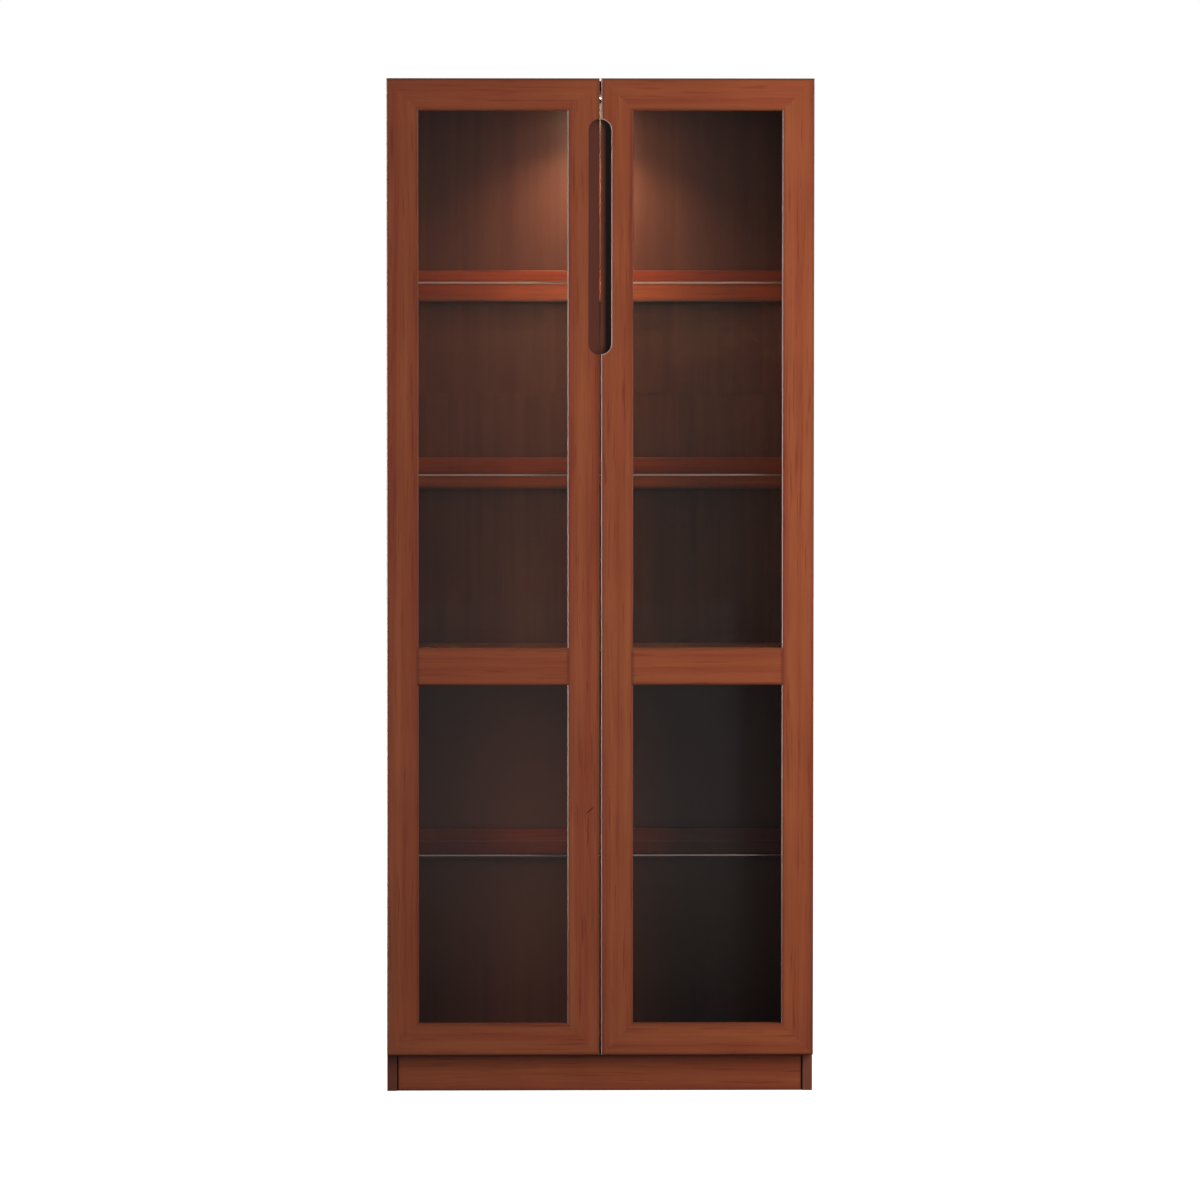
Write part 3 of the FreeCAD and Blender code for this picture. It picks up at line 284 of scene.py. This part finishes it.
def meeting_highlight(g, node):
    """1 in a thin line along the front of a stile, where it meets the other: a painted highlight on
    its arris.
    """
    line = g.fade(g.at(X), *from_edge(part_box(node)[0].x, MEETING_LINE_WIDTH))
    return g.product(line, near_front(g, node))


def worn_and_shaded_edges(g, node):
    """1 on the arrises of a board, from its box, where wear and painted shade darken the edges."""
    low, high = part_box(node)
    near = []
    for axis in (X, Y, Z):
        place = g.at(axis)
        from_low = g.math("SUBTRACT", place, low[axis])
        from_high = g.math("SUBTRACT", high[axis], place)
        near.append(g.fade(g.math("MINIMUM", from_low, from_high), 0.0, WORN_AND_SHADED_WIDTH))
    pairs = [g.product(near[a], near[b]) for a, b in ((X, Y), (Y, Z), (X, Z))]
    return g.math("MAXIMUM", g.math("MAXIMUM", pairs[0], pairs[1]), pairs[2])


def inner_face(g, node):
    """1 on the half of a side panel's thickness that faces the shelves, which painted shade darkens
    to the inside tone.
    """
    low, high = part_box(node)
    middle = abs(low.x + high.x) / 2
    return g.fade(g.distance(g.at(X)), *from_edge(middle, HALF_THICKNESS_BORDER))


def banded_edge(g, node):
    """1 on the front edge of a panel, where its band of veneer is glued on."""
    return g.fade(g.at(Y), *from_edge(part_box(node)[0].y, BAND_THICKNESS))


def shaded_lower_edge(g, node):
    """Fades in over the last millimetres of a rail, down to its lower edge, where painted shade
    darkens it.
    """
    return g.fade(g.at(Z), *from_edge(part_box(node)[0].z, LOWER_EDGE_HEIGHT))


def painted_light_lower_bay(g, node):
    """Painted light: lies on the inner face of the back below the wooden shelf and fades toward the
    floor.
    """
    low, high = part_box(node)
    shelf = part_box("fixed_shelf")[0].z
    inner = g.fade(g.at(Y), *from_edge((low.y + high.y) / 2, BACK_MIDDLE_BORDER))
    under = g.fade(g.at(Z), *from_edge(shelf, UNDER_SHELF))
    fading = g.spread(g.at(Z), *from_edge(low.z, ABOVE_FLOOR), LEFT_AT_FLOOR, 1.0)
    return g.product(inner, under, fading)


def end_shadow(g, node):
    """1 on the last 3 mm of a board at its left and right ends, where a painted shadow marks the
    gaps beside it.
    """
    low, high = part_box(node)
    off = g.distance(g.at(X), (low.x + high.x) / 2)
    return g.spread(off, *from_edge((high.x - low.x) / 2, END_SHADOW_FROM_END))


def knot(g, node):
    """A small dark knot with a slanting head and a thin tail, set from the stile's box."""
    low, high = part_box(node)
    waver = g.product(g.math("SUBTRACT", g.noise(g.place(), 90), 0.5), KNOT_WANDER)
    x, z = g.math("ADD", g.at(X), waver), g.at(Z)

    def window(value, middle, half):
        return g.fade(g.distance(value, middle), half * KNOT_CORE, half)

    marks = []
    for mark in (KNOT_HEAD, KNOT_TAIL):
        middle_x, middle_z = high.x - mark["inset"], low.z + mark["height"]
        lean = g.product(g.math("SUBTRACT", z, middle_z), mark["slope"])
        marks.append(g.product(
            window(g.math("SUBTRACT", x, lean), middle_x, mark["half_width"]),
            window(z, middle_z, mark["half_length"]), mark["strength"],
        ))
    return g.math("MAXIMUM", *marks)


# ---------------------------------------------------------------- wood


def palette(deep, body, light, streak):
    """The colours of a wood: those of its bands, from dark to light, and that of its streaks."""
    return {
        "deep": srgb(*deep), "body": srgb(*body), "light": srgb(*light), "streak": srgb(*streak),
    }


CHERRY = palette((157, 75, 48), (167, 87, 54), (175, 97, 59), (124, 46, 32))
BACK = palette((83, 41, 33), (89, 46, 36), (95, 51, 39), (72, 34, 28))
RAIL = palette((124, 41, 20), (135, 49, 23), (146, 58, 27), (101, 28, 16))
INSIDE = palette((108, 52, 35), (118, 61, 41), (128, 70, 46), (88, 36, 26))
SHELF = palette((104, 38, 22), (113, 44, 24), (123, 52, 28), (84, 26, 17))
BEECH = palette((186, 150, 112), (206, 172, 132), (220, 190, 152), (150, 112, 78))

# The tone of the arrises, part wear and part painted shade.
WORN_AND_SHADED_TONE = srgb(84, 42, 34)
# The painted highlight on the arrises where the doors meet and round the finger pull.
ARRIS_HIGHLIGHT = srgb(206, 176, 168)

# Each layer of the figure: its noise's scale per metre across and along the grain, and a shift
# of its own. The clouds and the sway of the grain have one scale all ways.
BANDS = (48, 1.1, 4.0)
FIBRES = (330, 5.5, 9.0)
STREAKS = (300, 9, 17.0)
PORES = (1400, 70, 23.0)
RUBBED = (30, 1.5, 31.0)
CLOUDS = (5, 5, 5)
SWAY = (2.2, 2.2, 2.2)
SWAY_WIDTH = 12 * MM
SEED_STEP = (3.17, -1.93, 2.41)

# The levels of a layer's noise at which its tone sets in, and how strong that tone gets.
BAND_LEVELS = (0.33, 0.50, 0.67)
STREAK_LEVELS, STREAK_STRENGTH = (0.57, 0.70), 0.55
PORE_LEVELS, PORE_STRENGTH = (0.60, 0.72), 0.22
FIBRE_STRENGTH = 0.75
CLOUD_STRENGTH = 0.8
PORE_RELIEF = 0.6
GRAIN_DEPTH = 0.12 * MM
WEAR_AND_SHADE_LEVELS, WEAR_AND_SHADE_LEAST = (0.35, 0.65), 0.7
FIBRE_SHADES = ((0.25, (0.84, 0.80, 0.78, 1)), (0.75, (1.08, 1.07, 1.05, 1)))
CLOUD_SHADES = ((0.90, 0.86, 0.86, 1), (1.06, 1.06, 1.04, 1))

BOARDS = {
    "side_panel_left": "z", "side_panel_right": "z", "top_panel": "x", "bottom_panel": "x",
    "fixed_shelf": "x", "plinth_front": "x", "plinth_rear": "x",
}
RAILS = ("back_rail_upper", "back_rail_middle", "back_rail_lower", "fixed_shelf_stiffener")
BACKS = ("back_panel_lower", "back_panel_upper")
DOOR_MEMBERS = {
    "outer_stile": "z", "inner_stile": "z", "top_rail": "x", "mid_rail": "x", "bottom_rail": "x",
}
DARKER_BOARDS = {"top_panel": INSIDE, "bottom_panel": INSIDE, "fixed_shelf": SHELF}

# What is laid over a piece's wood, in this order: a mask, its strength and the tone it brings.
# Apart from the knot and the veneer bands, these are painted light and shade.
STAINS_AND_PAINTED_LIGHT = {
    # The side panels: painted shade on the faces toward the shelves, and the veneer band along the
    # front edge, whose tone is set lighter on the right side by painted light.
    "side_panel_left": [
        (inner_face, 0.7, INSIDE["body"]), (banded_edge, 1.0, srgb(122, 67, 51)),
    ],
    "side_panel_right": [
        (inner_face, 0.7, INSIDE["body"]), (banded_edge, 1.0, srgb(140, 78, 59)),
    ],
    "fixed_shelf": [(banded_edge, 1.0, srgb(72, 34, 23))],
    # A painted shadow in the gaps at the plinth's ends.
    "plinth_front": [(end_shadow, 1.0, srgb(22, 12, 10))],
    # Painted light on the back below the wooden shelf.
    "back_panel_lower": [(painted_light_lower_bay, 0.8, srgb(110, 56, 41))],
    # The left meeting stile: painted shade in the finger pull and round its rim, and the wood's own
    # knot.
    "left_door_inner_stile": [
        (pull_inside_shade, 0.8, srgb(84, 50, 44)), (pull_rim_light_and_shade, 1.0, srgb(78, 46, 44)),
        (knot, 1.0, srgb(92, 26, 18)),
    ],
    # The right meeting stile: a painted highlight along its meeting edge and round the pull's rim,
    # a lighter painted shade in the pull and a painted shadow over its right half.
    "right_door_inner_stile": [
        (meeting_highlight, 0.9, ARRIS_HIGHLIGHT), (pull_inside_shade, 0.8, srgb(112, 68, 57)),
        (pull_rim_light_and_shade, 1.0, ARRIS_HIGHLIGHT), (pull_shadow, 0.85, srgb(26, 16, 16)),
    ],
    # Painted shade along the lower edges of the rails.
    **{rail: [(shaded_lower_edge, 0.75, srgb(58, 32, 26))] for rail in RAILS},
}


def wood(name, grain, colours, seed, node=None, gloss=0.34, figure=1.0, wear_and_shade=0.62):
    """Straight-grained lacquered wood: broad bands, fine fibres, short streaks and pores."""
    g = Graph(name)

    sway = g.add("ShaderNodeTexNoise", {
        "Vector": g.stretch(g.place(), SWAY, (seed, 0, 0)), "Scale": 1.0, "Detail": 1.0,
    }).outputs["Color"]
    centred = g.add("ShaderNodeVectorMath", {0: sway, 1: (0.5, 0.5, 0.5)}, operation="SUBTRACT")
    bent = g.add(
        "ShaderNodeVectorMath", {0: centred.outputs[0], "Scale": SWAY_WIDTH}, operation="SCALE"
    )
    swayed = g.add(
        "ShaderNodeVectorMath", {0: g.place(), 1: bent.outputs[0]}, operation="ADD"
    ).outputs[0]

    def layer(scales, **settings):
        across, along, shift = scales
        stretched = [along if axis == grain else across for axis in "xyz"]
        apart = [seed * step + own for step, own in zip(SEED_STEP, (shift, shift, 0))]
        return g.noise(g.stretch(swayed, stretched, apart), **settings)

    bands = layer(BANDS, detail=4, rough=0.62)
    fibres = layer(FIBRES, rough=0.6)
    streaks = layer(STREAKS, detail=2)
    pores = layer(PORES, detail=2)
    rubbed = layer(RUBBED)
    clouds = g.noise(g.stretch(g.place(), CLOUDS, (seed * 1.7, 0, seed)), detail=2)

    band_tones = (colours["deep"], colours["body"], colours["light"])
    streaked = g.spread(streaks, *STREAK_LEVELS, 0.0, STREAK_STRENGTH * figure)
    pored = g.spread(pores, *PORE_LEVELS, 0.0, PORE_STRENGTH * figure)
    colour = g.ramp(bands, *zip(BAND_LEVELS, band_tones))
    colour = g.mix(FIBRE_STRENGTH * figure, colour, g.ramp(fibres, *FIBRE_SHADES), "MULTIPLY")
    colour = g.mix(streaked, colour, colours["streak"])
    colour = g.mix(CLOUD_STRENGTH, colour, g.tones(clouds, *CLOUD_SHADES), "MULTIPLY")
    colour = g.mix(pored, colour, colours["streak"])
    # Wear and painted shade darken the arrises, broken up along the fibres.
    if node and wear_and_shade:
        broken = g.spread(fibres, *WEAR_AND_SHADE_LEVELS, WEAR_AND_SHADE_LEAST * wear_and_shade, wear_and_shade)
        colour = g.mix(g.product(worn_and_shaded_edges(g, node), broken), colour, WORN_AND_SHADED_TONE)
    for mask, strength, tone in STAINS_AND_PAINTED_LIGHT.get(node, ()):
        colour = g.mix(g.product(mask(g, node), strength), colour, tone)

    height = g.math("ADD", fibres, g.product(pores, PORE_RELIEF))
    return g.finish(g.shader(
        "BsdfPrincipled", Base_Color=colour,
        Roughness=g.vary(rubbed, gloss - 0.03, gloss + 0.05),
        Normal=g.bump(height, GRAIN_DEPTH, 0.35), Coat_Weight=0.30, Coat_Roughness=0.16,
    ))


# ---------------------------------------------------------------- glass

# The satin line runs along the middle of a shelf's edge, to this far above and below it, on
# upright faces alone.
SATIN_LINE = (0.9 * MM, 1.6 * MM)
SATIN_STRENGTH = 0.85
UPRIGHT = (0.1, 0.4)


def pane_glass(name):
    """Flat door glass: clear, with a mirror share that grows at a slant, and faint wiping marks."""
    g = Graph(name)
    smears = g.noise(g.stretch(g.place(), (9, 9, 2.5)), detail=4, rough=0.6)
    facing = g.add("ShaderNodeLayerWeight", {"Blend": 0.5}).outputs["Facing"]
    head_on, edge_on = 0.035, 0.9
    share = g.math("ADD", g.product(g.math("POWER", facing, 5.0), edge_on), head_on)
    tint = g.tones(smears, (0.93, 0.95, 0.94, 1), (0.955, 0.965, 0.955, 1))
    clear = g.shader("BsdfTransparent", Color=tint)
    mirror = g.shader(
        "BsdfGlossy", Color=WHITE, Roughness=g.spread(smears, 0.35, 0.7, 0.015, 0.06)
    )
    return g.finish(g.blend_shaders(share, clear, mirror))


def shelf_glass(name, node):
    """Thick shelf glass, clear through its faces, with a satin line along its polished edges whose
    pink tone is a painted reflection of the red wood.
    """
    g = Graph(name)
    low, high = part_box(node)
    smears = g.noise(g.stretch(g.place(), (8, 8, 8)), detail=4, rough=0.6)
    tint = g.tones(smears, (0.86, 0.93, 0.90, 1), (0.90, 0.96, 0.93, 1))
    facing_up = g.split(g.add("ShaderNodeNewGeometry").outputs["True Normal"])[Z]
    line = g.product(
        g.fade(g.distance(g.at(Z), (low.z + high.z) / 2), *SATIN_LINE),
        g.fade(g.distance(facing_up), *UPRIGHT), SATIN_STRENGTH,
    )
    grit = g.noise(g.place(), 1500)
    clear = g.shader(
        "BsdfPrincipled", Base_Color=tint, Roughness=g.spread(smears, 0.4, 0.75, 0.0, 0.05),
        Transmission_Weight=1.0, IOR=1.5,
    )
    # The ground line is tinted pink as a painted reflection of the wood round the shelf.
    ground_with_reflected_wood = g.shader(
        "BsdfPrincipled", Base_Color=g.tones(grit, srgb(178, 140, 136), srgb(196, 158, 154)),
        Roughness=g.vary(grit, 0.3, 0.45), Transmission_Weight=0.12, IOR=1.5,
    )
    through = g.shader(
        "BsdfTransparent", Color=g.mix(1.0, tint, srgb(222, 226, 224), "MULTIPLY")
    )
    solid = g.blend_shaders(line, clear, ground_with_reflected_wood)
    return g.finish(g.blend_shaders(g.path("Shadow"), solid, through))


# ---------------------------------------------------------------- metal, paint and plastic


def metal(name, colour, rough, brushed=True):
    """Plated or cast metal with fine lines or grains and a little tarnish."""
    g = Graph(name)
    scale = (60, 900, 900) if brushed else (700, 700, 700)
    lines = g.noise(g.stretch(g.place(), scale))
    tarnish = g.noise(g.place(), 60, detail=4)
    dull = tuple(0.62 * part for part in colour[:3]) + (1,)
    return g.finish(g.shader(
        "BsdfPrincipled", Base_Color=g.mix(g.spread(tarnish, 0.45, 0.75, 0.0, 0.5), colour, dull),
        Metallic=1.0, Roughness=g.vary(lines, rough - 0.06, rough + 0.10),
        Normal=g.bump(lines, 0.03 * MM, 0.4),
    ))


def painted(name, colour, rough):
    """Sprayed satin paint with a slight orange peel and dust."""
    g = Graph(name)
    peel = g.noise(g.place(), 900, detail=2)
    dust = g.noise(g.place(), 45, detail=4)
    dusty = g.mix(g.spread(dust, 0.5, 0.8, 0.0, 0.3), colour, srgb(170, 165, 156))
    return g.finish(g.shader(
        "BsdfPrincipled", Base_Color=dusty, Roughness=g.vary(dust, rough, rough + 0.1),
        Normal=g.bump(peel, 0.04 * MM, 0.3),
    ))


def soft_clear(name):
    """Translucent soft plastic with faint clouding."""
    g = Graph(name)
    cloud = g.noise(g.place(), 400)
    return g.finish(g.shader(
        "BsdfPrincipled", Base_Color=g.tones(cloud, srgb(200, 200, 194), srgb(228, 228, 222)),
        Roughness=g.vary(cloud, 0.3, 0.45), Transmission_Weight=0.5,
    ))


def glowing(name, strength, cells):
    """A lit plastic face, brighter in spots where its light sources lie."""
    g = Graph(name)
    spots = g.add("ShaderNodeTexVoronoi", {"Vector": g.place(), "Scale": cells}).outputs[0]
    tone = g.tones(g.noise(g.place(), 150), srgb(236, 226, 204), srgb(250, 244, 228))
    face = g.shader("BsdfPrincipled", Base_Color=tone, Roughness=g.spread(spots, 0, 1, 0.35, 0.5))
    glow = g.shader(
        "Emission", Color=(*LAMP_WARMTH, 1),
        Strength=g.spread(spots, 0.0, 0.8, strength, strength * 0.45),
    )
    return g.finish(g.add_shaders(face, glow))


# ---------------------------------------------------------------- which node gets what


def dress(material, *nodes):
    for node in nodes:
        materials = NODES[node].data.materials
        materials.clear()
        materials.append(material)


def dress_wood():
    """Every wooden piece gets a wood of its own, with a seed that shifts its figure."""
    for seed, (node, grain) in enumerate(BOARDS.items(), 1):
        dress(wood(f"cherry_{node}", grain, DARKER_BOARDS.get(node, CHERRY), seed, node), node)
    for seed, node in enumerate(RAILS, 20):
        dress(wood(f"cherry_{node}", "x", RAIL, seed, node, wear_and_shade=0.1), node)
    for seed, node in enumerate(BACKS, 30):
        plain = wood(f"cherry_{node}", "z", BACK, seed, node, gloss=0.36, figure=0.35, wear_and_shade=0.0)
        dress(plain, node)
    for offset, side in enumerate(SIDES):
        for seed, (member, grain) in enumerate(DOOR_MEMBERS.items(), 40 + 10 * offset):
            node = f"{side}_door_{member}"
            dress(wood(f"cherry_{node}", grain, CHERRY, seed, node), node)
        beads, dowels = f"{side}_door_glazing_beads", f"{side}_door_dowels"
        dress(wood(f"cherry_{side}_beads", "z", CHERRY, 60 + offset), beads)
        dress(wood(f"beech_{side}_door", "x", BEECH, 70 + offset, gloss=0.5), dowels)
    dress(wood("beech_carcass", "x", BEECH, 75, gloss=0.5), "carcass_dowels")


def dress_fittings():
    nickel = metal("nickel", srgb(206, 203, 196), rough=0.26)
    zinc = metal("zinc", srgb(168, 168, 172), rough=0.45, brushed=False)
    bumper = soft_clear("soft_clear")
    for side in SIDES:
        dress(nickel, *(f"hinge_{part}_{side}" for part in ("plates", "arms", "links")))
        dress(nickel, f"{side}_door_hinge_cups", f"{side}_door_cup_screws")
        dress(bumper, f"{side}_door_bumpers")
    dress(nickel, "hinge_plate_screws", "hinge_arm_screws", "shelf_supports", "lamp_screws")
    dress(zinc, "cam_locks", "cam_bolts")


def dress_glass():
    pane = pane_glass("door_pane_glass")
    for side in SIDES:
        dress(pane, f"{side}_door_lower_glass", f"{side}_door_upper_glass")
    for level in ("lower", "middle", "upper"):
        node = f"glass_shelf_{level}"
        dress(shelf_glass(f"glass_of_the_{level}_shelf", node), node)


def dress_lamp():
    dress(painted("lamp_white_paint", srgb(222, 218, 210), rough=0.35), "lamp_housing")
    dress(glowing("lamp_lens_glow", strength=6.0, cells=90), "lamp_lens")
    dress(glowing("lamp_board_glow", strength=8.0, cells=160), "lamp_light_board")


# ---------------------------------------------------------------- stage, light and camera


def to_scene(obj):
    bpy.context.scene.collection.objects.link(obj)
    return obj


def floor():
    """A pale floor: almost white to the camera, dim to the object, greyer near it in the panes."""
    g = Graph("pale_floor")
    grain = g.noise(g.place(), 3.0, detail=5)
    pale = g.tones(grain, srgb(226, 225, 223), srgb(232, 231, 230))
    lift = g.shader("Emission", Color=WHITE, Strength=FLOOR_LIFT)
    seen = g.add_shaders(g.shader("BsdfDiffuse", Color=pale), lift)
    dim = g.shader("BsdfDiffuse", Color=srgb(110, 110, 110))
    forward = g.product(g.at(Y), -1.0)
    aside = g.math("SUBTRACT", g.at(X), g.product(forward, FLOOR_LINE_LEAN))
    glow = g.product(
        g.spread(forward, *FLOOR_NEAR_AND_FAR, *FLOOR_IN_PANES),
        g.spread(aside, *FLOOR_LINE, 1.0, FLOOR_PAST_LINE),
    )
    sheen = g.shader("Emission", Color=WHITE, Strength=glow)
    unseen = g.blend_shaders(g.path("Glossy"), dim, sheen)
    material = g.finish(g.blend_shaders(g.path("Camera"), unseen, seen))

    mesh = bpy.data.meshes.new("floor")
    half = FLOOR_SIZE / 2
    corners = [(-half, -half, 0), (half, -half, 0), (half, half, 0), (-half, half, 0)]
    mesh.from_pydata(corners, [], [(0, 1, 2, 3)])
    mesh.materials.append(material)
    plane = to_scene(bpy.data.objects.new("floor", mesh))
    plane.location.z = -FLOOR_DROP


def white_room():
    """White to the camera; a dim studio in front, with white walls to the left and behind."""
    g = Graph("studio", "worlds")
    parts = g.split(g.add("ShaderNodeTexCoord").outputs["Generated"])
    lean = g.math("ADD", parts[Y], g.product(parts[X], WALL_LEAN))
    fill = g.spread(lean, *WALLS_LIGHT, DIM_ROOM, 1.0)
    window = g.spread(parts[X], *WINDOW_EDGE, *WINDOW_IN_PANES)
    mirrored = g.math("ADD", window, g.spread(lean, *WALLS_MIRRORED))
    unseen = g.add("ShaderNodeMix", {0: g.path("Glossy"), 2: fill, 3: mirrored}).outputs[0]
    strength = g.add("ShaderNodeMix", {0: g.path("Camera"), 2: unseen, 3: 1.0}).outputs[0]
    backdrop = g.shader("Background", Color=WHITE, Strength=strength)
    bpy.context.scene.world = g.finish(backdrop, "ShaderNodeOutputWorld")


def add_light(name, kind, place, power, colour=(1, 1, 1), **settings):
    data = bpy.data.lights.new(name, kind)
    data.energy = power
    data.color = colour
    for key, value in settings.items():
        setattr(data, key, value)
    light = to_scene(bpy.data.objects.new(name, data))
    light.location = place
    light.visible_camera = False
    return light


def soft_box(name, place, target, width, height, power, matt=True, mirrored=True):
    """A rectangular light, which matt surfaces or mirroring ones may be kept from seeing."""
    place, target = Vector(place), Vector(target)
    light = add_light(name, "AREA", place, power, shape="RECTANGLE", size=width, size_y=height)
    light.rotation_euler = (target - place).to_track_quat("-Z", "Y").to_euler()
    light.visible_diffuse = matt
    light.visible_transmission = matt
    light.visible_glossy = mirrored
    return light


def studio_lights():
    """A tall key to the right of the front, and a white wall that only mirrors show.

    The wall draws the light lines on edges that face left. It would wash out the left side
    panel, which mirrors it head-on, so that panel is spared.
    """
    soft_box("key", **KEY_LIGHT, mirrored=False)
    wall = soft_box("wall", **WALL_LIGHT, matt=False)
    spared = bpy.data.collections.new("sides_without_the_wall")
    spared.objects.link(NODES["side_panel_left"])
    spared.collection_objects[0].light_linking.link_state = "EXCLUDE"
    wall.light_linking.receiver_collection = spared


def shelf_lamp():
    """The warm light that leaves the lens under the top panel, wide and in a downward cone."""
    low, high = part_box("lamp_lens")
    under = Vector(((low.x + high.x) / 2, (low.y + high.y) / 2, low.z - LAMP_CLEARANCE))
    add_light(
        "lamp_glow", "AREA", under, LAMP_GLOW_POWER, LAMP_WARMTH, shape="DISK",
        size=0.9 * (high.x - low.x),
    )
    beam = add_light(
        "lamp_beam", "SPOT", under, LAMP_BEAM_POWER, LAMP_WARMTH,
        spot_size=math.radians(LAMP_CONE), spot_blend=1.0, shadow_soft_size=high.x,
    )
    beam.rotation_euler.y = math.radians(LAMP_TILT)


def camera():
    data = bpy.data.cameras.new("camera")
    data.lens = CAMERA_LENS
    data.shift_x, data.shift_y = CAMERA_SHIFT
    data.clip_end = CAMERA_REACH
    view = to_scene(bpy.data.objects.new("camera", data))
    view.location = CAMERA_PLACE
    view.rotation_euler = (math.radians(90 - CAMERA_PITCH), 0, math.radians(-CAMERA_YAW))
    bpy.context.scene.camera = view


dress_wood()
dress_fittings()
dress_glass()
dress_lamp()
floor()
white_room()
studio_lights()
shelf_lamp()
camera()
bpy.context.scene.view_settings.view_transform = "Standard"
